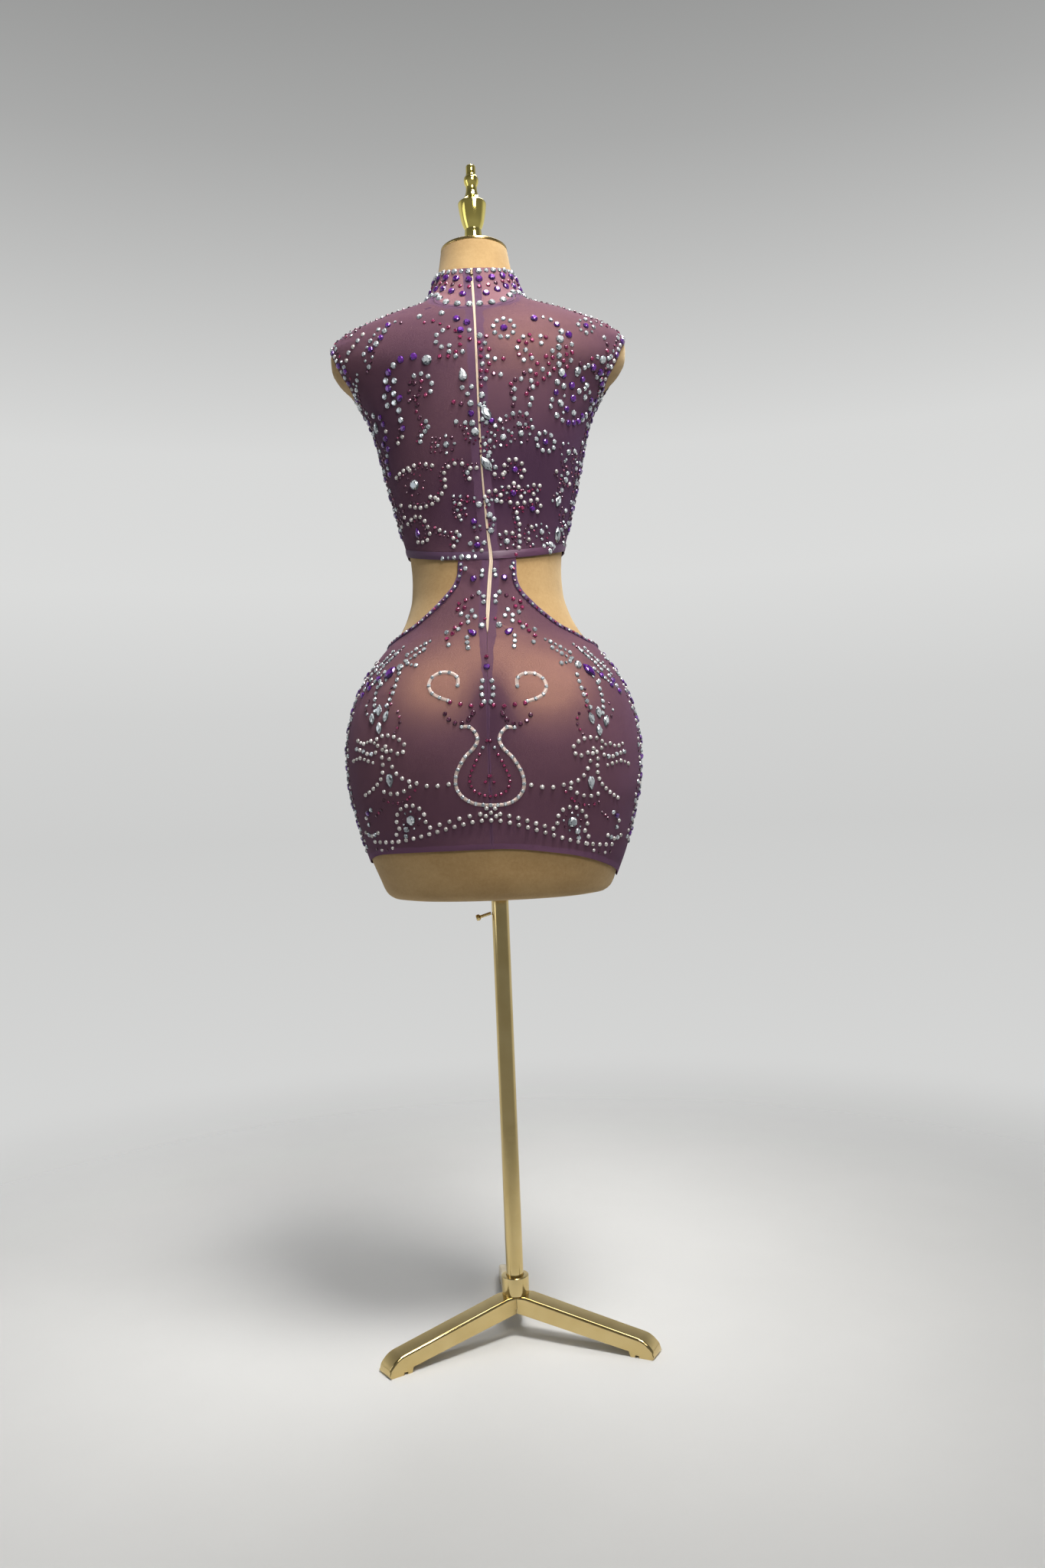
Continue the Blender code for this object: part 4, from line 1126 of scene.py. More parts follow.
def binding_moves(side, angles, heights):
    """The change of angle and height that goes a binding's width inward onto the skirt."""
    forward = np.gradient(form_point(angles, heights), axis=0)
    inward = side * np.cross(forward, form_normal(angles, heights))
    inward = inward / np.linalg.norm(inward, axis=1, keepdims=True)
    moves = []
    for by_angle, by_height, push in zip(*form_slopes(angles, heights), inward * BINDING_WIDTH):
        slopes = np.stack([by_angle, by_height], axis=1)
        moves.append(np.linalg.lstsq(slopes, push, rcond=None)[0])
    return np.array(moves)


def add_binding_cloth(name, node, side):
    """A rounded strip sewn on the skirt's edge along one cut-out."""
    angles, heights = binding_path(side)
    moves = binding_moves(side, angles, heights)
    rows = np.array(BINDING_PROFILE)[:, None]
    grid = (angles + moves[:, 0] * rows, heights + moves[:, 1] * rows)
    rise = BINDING_HEIGHT * np.sqrt(np.clip(1 - (2 * rows - 1) ** 2, 0, 1))
    outside = CLOTH_OUTSIDE + SHELL + rise + np.zeros_like(grid[0])
    shell_piece(name, grid, outside, "binding", [node])


def zip_edge(side):
    """One edge of the zip: -1 is the left, +1 the right."""
    return lambda height: angle_at(zip_across(height) + side * zip_half_width(height), height, True)


def add_zip_tape(top):
    """The zip's tape, raised along both lips beside the groove in its middle."""
    columns, lips = ZIP_GRID["columns"], ZIP_LIPS
    grid = panel_grid((BACK, BACK), (zip_edge(-1), zip_edge(1)), (level(ZIP_END), level(top)),
                      (ZIP_GRID["rows"],), columns)
    shares = np.abs(np.linspace(-1, 1, columns + 1))
    outer = np.sqrt(np.clip(1 - (shares * lips["outer"]) ** lips["bend"], 0, 1))
    raised = np.clip(shares / lips["inner"], 0, 1) * outer
    outside = CLOTH_LIFT + ZIP_WALL * (lips["groove"] + lips["rise"] * raised) + np.zeros_like(grid[0])
    shell_piece("zip_tape", grid, outside, "zip_tape", ["zip"])


def add_zip_teeth(top):
    """The zip's teeth, in turn left and right of the middle of its groove."""
    count = int((top - ZIP_END) / TOOTH["pitch"]) - TOOTH["left_out"]
    heights = ZIP_END + (np.arange(count) + TOOTH["first"]) * TOOTH["pitch"]
    sides = np.where(np.arange(count) % 2 == 0, -1.0, 1.0)
    across = zip_across(heights) + sides * TOOTH["aside"] * zip_half_width(heights)
    angles = angle_at(across, heights, True)
    places = lifted_point(angles, heights, CLOTH_LIFT + ZIP_WALL * ZIP_LIPS["groove"])
    teeth = [tooth_part(place, normal) for place, normal in zip(places, form_normal(angles, heights))]
    obj = new_piece("zip_teeth", joined(teeth, "zip_teeth", SHARP["teeth"]), "zip_teeth")


def upright_frame(normal, turn=0.0):
    """Right, up and out directions at a place on the form, turned about the way out."""
    out = np.asarray(normal, float)
    right = np.cross((0.0, 0.0, 1.0), out)
    right = right / np.linalg.norm(right)
    up = np.cross(out, right)
    cosine, sine = math.cos(turn), math.sin(turn)
    return right * cosine + up * sine, up * cosine - right * sine, out


def tooth_part(place, normal):
    """A small block with its upper edges drawn in, standing on a place: its points and faces."""
    right, up, out = upright_frame(normal)
    corners = []
    for share, rise in ((1.0, 0.0), (TOOTH["top_share"], TOOTH["depth"])):
        for a, b in ((-1, -1), (1, -1), (1, 1), (-1, 1)):
            corner = (right * a * TOOTH["across"] + up * b * TOOTH["along"]) / 2
            corners.append(place + corner * share + out * rise)
    sides = [(i, (i + 1) % 4, (i + 1) % 4 + 4, i + 4) for i in range(4)]
    top = tuple(range(4, 8))
    return np.array(corners), [top, *sides]


def joined(parts, name, sharp_degrees=None):
    """One mesh from many small parts, each its points and faces."""
    points, faces, first = [], [], 0
    for part_points, part_faces in parts:
        points.append(part_points)
        faces.extend(tuple(index + first for index in face) for face in part_faces)
        first += len(part_points)
    return mesh_from_arrays(name, np.concatenate(points), faces, sharp_degrees)


# The form and its fittings


def ring_heights():
    """The heights of the form's rings: those of the table, with more between them."""
    heights = []
    for low, high in zip(FORM_RINGS[:-1], FORM_RINGS[1:]):
        climb = math.hypot(high.height - low.height, high.half_width - low.half_width)
        count = max(3, math.ceil(climb / FORM_ROW_STEP))
        heights.extend(np.linspace(low.height, high.height, count, endpoint=False))
    return heights + [FORM_TOP]


def add_suede_form():
    """The form as one closed body, with a socket below for the rod."""
    angles = np.linspace(0, 2 * math.pi, FORM_COLUMNS, endpoint=False)
    rings = [form_point(angles, np.full(angles.shape, height)) for height in ring_heights()]
    for height in (FORM_BOTTOM, FORM_BOTTOM + SOCKET_DEPTH):
        rings.insert(0, np.stack((ROD_RADIUS * np.cos(angles), ROD_RADIUS * np.sin(angles) + AXIS_Y,
                                  np.full(angles.shape, height)), axis=-1))
    faces = []
    for row in range(len(rings) - 1):
        for column in range(FORM_COLUMNS):
            a = row * FORM_COLUMNS + column
            b = row * FORM_COLUMNS + (column + 1) % FORM_COLUMNS
            faces.append((a, b, b + FORM_COLUMNS, a + FORM_COLUMNS))
    faces.append(tuple(range(FORM_COLUMNS))[::-1])
    faces.append(tuple((len(rings) - 1) * FORM_COLUMNS + column for column in range(FORM_COLUMNS)))
    mesh = mesh_from_arrays("suede_form", np.concatenate(rings), faces, SHARP["form"])
    obj = new_piece("suede_form", mesh, "suede")
    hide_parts("form_torso")


def rounded_profile(points, cuts=2):
    """A turned profile with points added on a smooth line wherever it doesn't turn sharply."""
    share = 0.25
    profile = [np.array(point, float) for point in points]
    for _ in range(cuts):
        finer = [profile[0]]
        for before, here, after in zip(profile[:-2], profile[1:-1], profile[2:]):
            turn = math.atan2(np.cross(here - before, after - here), np.dot(here - before, after - here))
            if math.degrees(abs(turn)) > SHARP["profile"]:
                finer.append(here)
            else:
                finer.extend(here * (1 - share) + beside * share for beside in (before, after))
        profile = finer + [profile[-1]]
    return profile


def turned_mesh(name, profile, base, closed=False):
    """A mesh turned round the pole's axis from a profile of radius and height."""
    steps = FINE_TURN_STEPS
    bm = bmesh.new()
    rings = []
    for radius, height in profile:
        if radius <= 0:
            rings.append([bm.verts.new((0.0, AXIS_Y, base + height))] * steps)
            continue
        turns = [2 * math.pi * step / steps for step in range(steps)]
        rings.append([bm.verts.new((radius * math.cos(turn), radius * math.sin(turn) + AXIS_Y, base + height))
                      for turn in turns])
    pairs = list(zip(rings[:-1], rings[1:])) + ([(rings[-1], rings[0])] if closed else [])
    for ring, following in pairs:
        for i in range(steps):
            j = (i + 1) % steps
            corners = list(dict.fromkeys((ring[i], ring[j], following[j], following[i])))
            if len(corners) > 2:
                bm.faces.new(corners)
    bmesh.ops.recalc_face_normals(bm, faces=bm.faces)
    mesh = bpy.data.meshes.new(name)
    bm.to_mesh(mesh)
    bm.free()
    return smoothed(mesh, SHARP["turned"])


def add_turned_piece(name, profile, base, material, node, body, slot, closed=False):
    obj = new_piece(name, turned_mesh(name, profile, base, closed), material, body)
    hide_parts(node)


def quarter_round(radius, top, edge, steps):
    """A rounded edge between a round top and a side, as radius and height."""
    turns = np.linspace(0, math.pi / 2, steps)
    return [(radius - edge * (1 - math.sin(turn)), top - edge * (1 - math.cos(turn))) for turn in turns]


def tube_profile(size, bottom, top):
    bevel = quarter_round(size["radius"], top, size["edge"], steps=5)
    return [(size["bore"], top), *bevel, (size["radius"], bottom), (size["bore"], bottom)]


def add_fittings():
    """The disc and the turned finial on the neck, the pole and the ring at its foot."""
    thickness = NECK_CAP["thickness"]
    rim = quarter_round(NECK_CAP["radius"], thickness, NECK_CAP["edge"], steps=6)
    under = [(reach, thickness - height) for reach, height in rim[::-1]]
    cap = [(0, thickness), *rim, *under, (0, 0)]
    cap_bottom = FORM_TOP + FACE_GAP
    finial_bottom = FORM_TOP + 2 * FACE_GAP + thickness
    hub_bottom = LEG["top"] + FACE_GAP
    pole = tube_profile(POLE, hub_bottom, FORM_BOTTOM - FACE_GAP)
    hub = tube_profile(HUB, hub_bottom, HUB["top"])
    finial = rounded_profile(FINIAL_PROFILE)
    for row in (
        ("neck_disc", cap, cap_bottom, "disc", "neck_cap", "form", "polished_brass"),
        ("turned_finial", finial, finial_bottom, "polished", "finial", "form", "polished_brass"),
        ("round_pole", pole, 0.0, "brass", "pole", "stand", "brass", True),
        ("foot_ring", hub, 0.0, "brass", "hub_ring", "stand", "brass", True),
    ):
        add_turned_piece(*row)


def rounded_corner(before, corner, after, cut):
    """Points of a curve that cuts a corner off, each end of it this far from the corner."""
    before, corner, after = (np.array(point) for point in (before, corner, after))
    start = corner + (before - corner) * cut / np.linalg.norm(before - corner)
    end = corner + (after - corner) * cut / np.linalg.norm(after - corner)
    shares = np.linspace(0, 1, TOE_STEPS)[:, None]
    curve = start * (1 - shares) ** 2 + 2 * corner * shares * (1 - shares) + end * shares**2
    return [tuple(float(number) for number in point) for point in curve]


def leg_profile():
    """The leg's side view, out from the pole: reach and height. The last points are its upper edge."""
    toe, notch = LEG_TOE, LEG_NOTCH
    under_tip, tip = (LEG["reach"], toe["chamfer"]), (LEG["reach"], toe["tip_height"])
    bend, flat_end = (toe["bend"], toe["bend_height"]), (LEG["flat"], LEG["top"])
    return (
        (0.0, LEG["top"]),
        (0.0, LEG["under"]),
        (LEG["flat"] / 2, LEG["under"]),
        (toe["heel"], toe["heel_height"]),
        (toe["heel"] + toe["chamfer"], 0.0),
        (notch["start"], 0.0),
        (notch["start"], notch["height"]),
        (notch["end"], notch["height"]),
        (notch["end"], 0.0),
        (LEG["reach"] - toe["chamfer"], 0.0),
        under_tip,
        *rounded_corner(under_tip, tip, bend, TOE_CUTS["tip"]),
        *rounded_corner(tip, bend, flat_end, TOE_CUTS["bend"]),
        flat_end,
    )


def leg_mesh():
    """A bar with rounded upper edges, pointed at the hub where the three legs meet."""
    bm = bmesh.new()
    profile = leg_profile()
    half = LEG["width"] / 2
    near = [bm.verts.new((reach, -half, height)) for reach, height in profile]
    far = [bm.verts.new((reach, half, height)) for reach, height in profile]
    bm.faces.new(near)
    bm.faces.new(far)
    count = len(profile)
    for i in range(count):
        j = (i + 1) % count
        bm.faces.new((near[i], near[j], far[j], far[i]))
    bmesh.ops.recalc_face_normals(bm, faces=bm.faces)
    upper = (*range(count - 2 * TOE_STEPS - 1, count), 0)
    rounded = [bm.edges.get((row[i], row[j])) for row in (near, far) for i, j in zip(upper[:-1], upper[1:])]
    bmesh.ops.bevel(bm, geom=rounded, offset=LEG["edge"], segments=LEG["edge_steps"], profile=0.5,
                    affect="EDGES")
    for sign in (-1, 1):
        outward = Vector((-math.sin(LEG_MITRE), sign * math.cos(LEG_MITRE), 0.0))
        cut = bmesh.ops.bisect_plane(bm, geom=bm.verts[:] + bm.edges[:] + bm.faces[:],
                                     plane_co=outward * -SEAM_GAP, plane_no=outward, clear_outer=True)
        edges = [item for item in cut["geom_cut"] if isinstance(item, bmesh.types.BMEdge)]
        bmesh.ops.contextual_create(bm, geom=edges)
    mesh = bpy.data.meshes.new("leg")
    bm.to_mesh(mesh)
    bm.free()
    return smoothed(mesh, SHARP["leg"])


def add_legs():
    mesh = leg_mesh()
    for number, degrees in enumerate(LEG_TURNS, start=1):
        turned = mesh.copy()
        turn = Matrix.Rotation(math.radians(degrees), 4, "Z")
        turned.transform(Matrix.Translation((0.0, AXIS_Y, 0.0)) @ turn)
        obj = new_piece(f"rounded_leg_{number}", turned, "brass", "stand")
        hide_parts(f"leg_{number}")


def paint_kept_nodes():
    """Better finishes for the solids that are shown as they are."""
    for node, material in (("inner_rod", "brass"), ("clamp_screw", "brass"), ("zip_slider", "slider")):
        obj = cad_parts[node]
        if not obj.material_slots:
            obj.data.materials.append(MATERIALS[material])
        for place in obj.material_slots:
            place.material = MATERIALS[material]


# Stones

STONES = {name: Stone(*row) for name, row in {
    "grand crystal": ("round", "clear", 13.0, 13.0),
    "crystal": ("round", "clear", 10.5, 10.5),
    "large clear": ("round", "clear", 9.2, 9.2),
    "clear": ("round", "clear", 8.0, 8.0),
    "small clear": ("round", "clear", 6.2, 6.2),
    "tiny clear": ("small round", "clear", 4.4, 4.4),
    "fine clear": ("small round", "clear", 3.2, 3.2),
    "purple": ("round", "purple", 9.5, 9.5),
    "small purple": ("round", "purple", 8.0, 8.0),
    "scroll clear": ("round", "clear", 5.2, 5.2),
    "magenta": ("round", "magenta", 5.8, 5.8),
    "tiny magenta": ("small round", "magenta", 4.4, 4.4),
    "fine magenta": ("small round", "magenta", 3.2, 3.2),
    "dark": ("round", "dark", 5.8, 5.8),
    "tiny dark": ("small round", "dark", 4.2, 4.2),
    "fine dark": ("small round", "dark", 3.2, 3.2),
    "pearl": ("dome", "pearl", 5.5, 5.5),
    "small pearl": ("dome", "pearl", 4.4, 4.4),
    "navette": ("navette", "clear", 9.5, 16.0),
    "grand navette": ("navette", "clear", 11.5, 22.0),
    "purple navette": ("navette", "purple", 13.0, 22.0),
    "drop": ("drop", "clear", 10.5, 18.0),
    "purple drop": ("drop", "purple", 8.5, 13.0),
}.items()}


ROUND_LEVELS = ((1.00, 0.00), (0.96, 0.07), (0.78, 0.22), (0.52, 0.30))
SMALL_LEVELS = ((1.00, 0.00), (0.90, 0.14), (0.55, 0.32))
LONG_LEVELS = ((1.00, 0.00), (0.94, 0.10), (0.72, 0.24), (0.44, 0.30))
DROP_WIDEST = 0.77
DOME = {"sides": 9, "rings": 4, "height": 0.42}


def outline_of(cut, count):
    """Twice as many corners as a cut has sides, round its outline, for a width and a length of 1."""
    turns = np.linspace(0, 2 * math.pi, 2 * count, endpoint=False)
    if cut == "navette":
        lengthwise = -np.cos(turns)
        return np.stack([np.sign(np.sin(turns)) * (1 - lengthwise**2) / 2, lengthwise / 2], axis=1)
    if cut == "drop":
        widths = np.sin(turns) * np.abs(np.sin(turns / 2))
        return np.stack([widths / DROP_WIDEST / 2, np.cos(turns) / 2], axis=1)
    return np.stack([np.cos(turns), np.sin(turns)], axis=1) / 2


def belt_faces(low, sides, odd=False):
    """Triangles between one ring of corners and the next, which is half a step round from it."""
    high = low + sides
    faces = []
    for i in range(sides):
        j = (i + 1) % sides
        if odd:
            faces.extend([(low + i, high + j, high + i), (low + i, low + j, high + j)])
        else:
            faces.extend([(low + i, low + j, high + i), (high + i, low + j, high + j)])
    return faces


def cut_template(cut, sides, levels):
    """A cut stone: rings of corners drawn in and raised, each half a step round from the last, and a table.

    The first belt's facets are painted dark on the dress, as painted shade, because they stand steep on the
    cloth.
    """
    outline = outline_of(cut, sides)
    points, faces = [], []
    for number, (share, rise) in enumerate(levels):
        points.extend((x, y, rise) for x, y in outline[number % 2::2] * share)
    for number in range(len(levels) - 1):
        faces.extend(belt_faces(number * sides, sides, number % 2 == 1))
    last = (len(levels) - 1) * sides
    faces.append(tuple(range(last, last + sides)))
    return Template(np.array(points), faces, 2 * sides)


def dome_template(sides, rings, height):
    """A domed bead, a little less high than half its width."""
    points, faces = [], []
    for ring in range(rings):
        turn = math.pi / 2 * ring / rings
        for side in range(sides):
            round_turn = 2 * math.pi * (side + ring / 2) / sides
            points.append((math.cos(turn) * math.cos(round_turn) / 2,
                           math.cos(turn) * math.sin(round_turn) / 2, math.sin(turn) * height))
    points.append((0.0, 0.0, height))
    for ring in range(rings - 1):
        faces.extend(belt_faces(ring * sides, sides))
    top = (rings - 1) * sides
    faces.extend((top + i, top + (i + 1) % sides, len(points) - 1) for i in range(sides))
    return Template(np.array(points), faces, 0)


TEMPLATES = {
    "round": cut_template("round", 8, ROUND_LEVELS),
    "small round": cut_template("round", 6, SMALL_LEVELS),
    "navette": cut_template("navette", 8, LONG_LEVELS),
    "drop": cut_template("drop", 8, LONG_LEVELS),
    "dome": dome_template(**DOME),
}

# How far the stones tilt at random, and how light their facets and tables are painted: painted reflections on
# the cut stones, painted shade on their steep first belt, and a random tone for each bead.
STONE_TILT = 0.09
FACET_TONES_AND_PAINTED_REFLECTIONS = {"spread": (1.1, 1.0), "belt": 0.25, "table": (0.45, 0.95), "dome": (0.1, 0.9)}


class StoneTray:
    """Stones set on the dress, gathered by colour, and then made as one joined mesh for each."""

    def __init__(self, seed):
        self.random = np.random.default_rng(seed)
        self.parts = {}

    def add(self, kind, angle, height, turn=None, extra_lift=0.0):
        """Sets one stone on the cloth at an angle and a height."""
        stone = STONES[kind]
        points, faces, belt = TEMPLATES[stone.cut]
        angle, height = np.asarray(float(angle)), np.asarray(float(height))
        lift = float(cloth_outside(angle, height)) + extra_lift
        place = lifted_point(angle, height, lift)
        normal = form_normal(angle, height) + self.random.normal(0.0, STONE_TILT, 3)
        normal = normal / np.linalg.norm(normal)
        if turn is None:
            turn = self.random.uniform(0, 2 * math.pi) if stone.width == stone.length else 0.0
        right, up, out = upright_frame(normal, turn)
        scaled = points * np.array((stone.width, stone.length, stone.width)) * MM
        placed = place + scaled[:, :1] * right + scaled[:, 1:2] * up + scaled[:, 2:] * out
        if stone.cut == "dome":
            tones = np.full(len(faces), self.random.uniform(*FACET_TONES_AND_PAINTED_REFLECTIONS["dome"]))
        else:
            # Painted reflections: each facet of a cut stone is painted lighter or darker at random, the steep
            # first belt darker as painted shade, and the table lighter.
            tones = self.random.beta(*FACET_TONES_AND_PAINTED_REFLECTIONS["spread"], len(faces))
            tones[:belt] *= FACET_TONES_AND_PAINTED_REFLECTIONS["belt"]
            tones[-1] = self.random.uniform(*FACET_TONES_AND_PAINTED_REFLECTIONS["table"])
        self.parts.setdefault(stone.colour, []).append((placed, faces, tones))

    def make_pieces(self, prefix):
        for colour, parts in self.parts.items():
            sharp = SHARP["pearl"] if colour == "pearl" else None
            mesh = joined([(points, faces) for points, faces, _ in parts], f"{prefix}_{colour}", sharp)
            set_numbers(mesh, "facet_tone_and_painted_reflection", np.concatenate([tones for _, _, tones in parts]), "FACE")
            new_piece(f"{prefix}_{colour}", mesh, colour)


def smooth_line(places, steps=14):
    """A smooth line through given places."""
    places = np.array(places, float)
    if len(places) < 3:
        shares = np.linspace(0, 1, steps)[:, None]
        return places[0] + (places[-1] - places[0]) * shares
    ends = np.concatenate([[2 * places[0] - places[1]], places, [2 * places[-1] - places[-2]]])
    line = []
    for before, start, end, after in zip(ends[:-3], ends[1:-2], ends[2:-1], ends[3:]):
        for t in np.linspace(0, 1, steps, endpoint=False):
            line.append(0.5 * (2 * start + (end - before) * t
                               + (2 * before - 5 * start + 4 * end - after) * t**2
                               + (3 * start - before - 3 * end + after) * t**3))
    return np.array(line + [places[-1]])


def circle_line(circle, steps=60):
    """The line of a circle or part of one, its start and end in degrees from the right."""
    turns = np.radians(np.linspace(circle.start, circle.end, steps))
    return np.stack([circle.across + circle.radius * np.cos(turns),
                     circle.height + circle.radius * np.sin(turns)], axis=1)


# How far out on a face stones may lie: short of its side, and clear of the armhole's edge where it has one.
SIDE_LIMIT = 0.998
BESIDE_ARMHOLE = 0.9999
ARMHOLE_MARGIN = 0.0035


class Face:
    """One face of the dress, on which places are given in millimetres across and up.

    Mirrored places are turned over about the centre. A slant lowers places on the right and raises those
    on the left, as the dress hangs on the form.
    """

    def __init__(self, at_back, mirrored=False, slant=0.0, centre=None):
        self.at_back = at_back
        self.side = -1.0 if mirrored else 1.0
        self.slant = slant
        self.centre = centre or (lambda height: 0.0 * np.asarray(height))

    def spots(self, places):
        """Angles and heights of places on this face, kept a little inside the dress's outline."""
        places = np.asarray(places, float).reshape(-1, 2)
        x = self.side * places[:, 0]
        heights = (places[:, 1] - self.slant * x) * MM
        across = x * MM + self.centre(heights)
        reach = np.cos(armhole_reach(heights))
        widest = smooth_column(FORM_RINGS, "half_width", heights) * np.minimum(reach, SIDE_LIMIT)
        margin = np.where(reach < BESIDE_ARMHOLE, ARMHOLE_MARGIN, 0.0)
        across = np.clip(across, -(widest - margin), widest - margin)
        return angle_at(across, heights, self.at_back), heights

    def even_spots(self, line, spacing, closed=False):
        """Spots at even distances along a line, measured on the form."""
        angles, heights = self.spots(line)
        lengths = lengths_along(form_point(angles, heights))
        count = max(1, round(lengths[-1] / (spacing * MM)))
        even = np.linspace(0, lengths[-1], count + 1)
        if closed:
            even = even[:-1]
        return np.interp(even, lengths, angles), np.interp(even, lengths, heights)


def lay_line(tray, face, line, stones, spacing, closed=False):
    angles, heights = face.even_spots(line, spacing, closed)
    for number, (angle, height) in enumerate(zip(angles, heights)):
        tray.add(stones[number % len(stones)], angle, height)


# Fine beads beside the lines of stones low in the bodice, in millimetres.
BESIDE = {"lowest": 985, "highest": 1146, "aside": 4.6, "spacing": 5.6,
          "stones": ("fine dark", "fine dark", "fine magenta")}


def lay_beads_beside(tray, face, line):
    """A line of fine dark beads beside a line of stones, where that lies low in the bodice."""
    if line[:, 1].min() < BESIDE["lowest"] or line[:, 1].max() > BESIDE["highest"]:
        return
    ways = np.gradient(line, axis=0)
    ways = ways / np.maximum(np.linalg.norm(ways, axis=1), MM)[:, None]
    aside = np.stack([ways[:, 1], -ways[:, 0]], axis=1)
    lay_line(tray, face, line + aside * BESIDE["aside"], BESIDE["stones"], BESIDE["spacing"])


def lay_run(tray, face, run):
    line = smooth_line(run.places)
    lay_line(tray, face, line, run.stones, run.spacing)
    lay_beads_beside(tray, face, line)


def lay_circle(tray, face, circle):
    closed = abs(circle.end - circle.start) >= 360
    line = circle_line(circle)
    lay_line(tray, face, line, circle.stones, circle.spacing, closed)
    lay_beads_beside(tray, face, line)


def lay_single(tray, face, single):
    angles, heights = face.spots([(single.across, single.height)])
    turn = None if single.turn is None else face.side * math.radians(single.turn)
    if turn is not None and not face.at_back:
        turn = -turn
    tray.add(single.stone, angles[0], heights[0], turn)


def lay_flower(tray, face, across, height, middle, petals, radius, count):
    """A flower: a middle stone and petals round it."""
    lay_single(tray, face, Single(across, height, middle))
    turns = np.radians(90 + 360 * np.arange(count) / count)
    for number, turn in enumerate(turns):
        place = (across + radius * math.cos(turn), height + radius * math.sin(turn))
        angles, heights = face.spots([place])
        tray.add(petals[number % len(petals)], angles[0], heights[0])


def lay_all(tray, face, items):
    lay = {Run: lay_run, Circle: lay_circle, Single: lay_single}
    for item in items:
        if isinstance(item, Flower):
            lay_flower(tray, face, *item)
        else:
            lay[type(item)](tray, face, item)


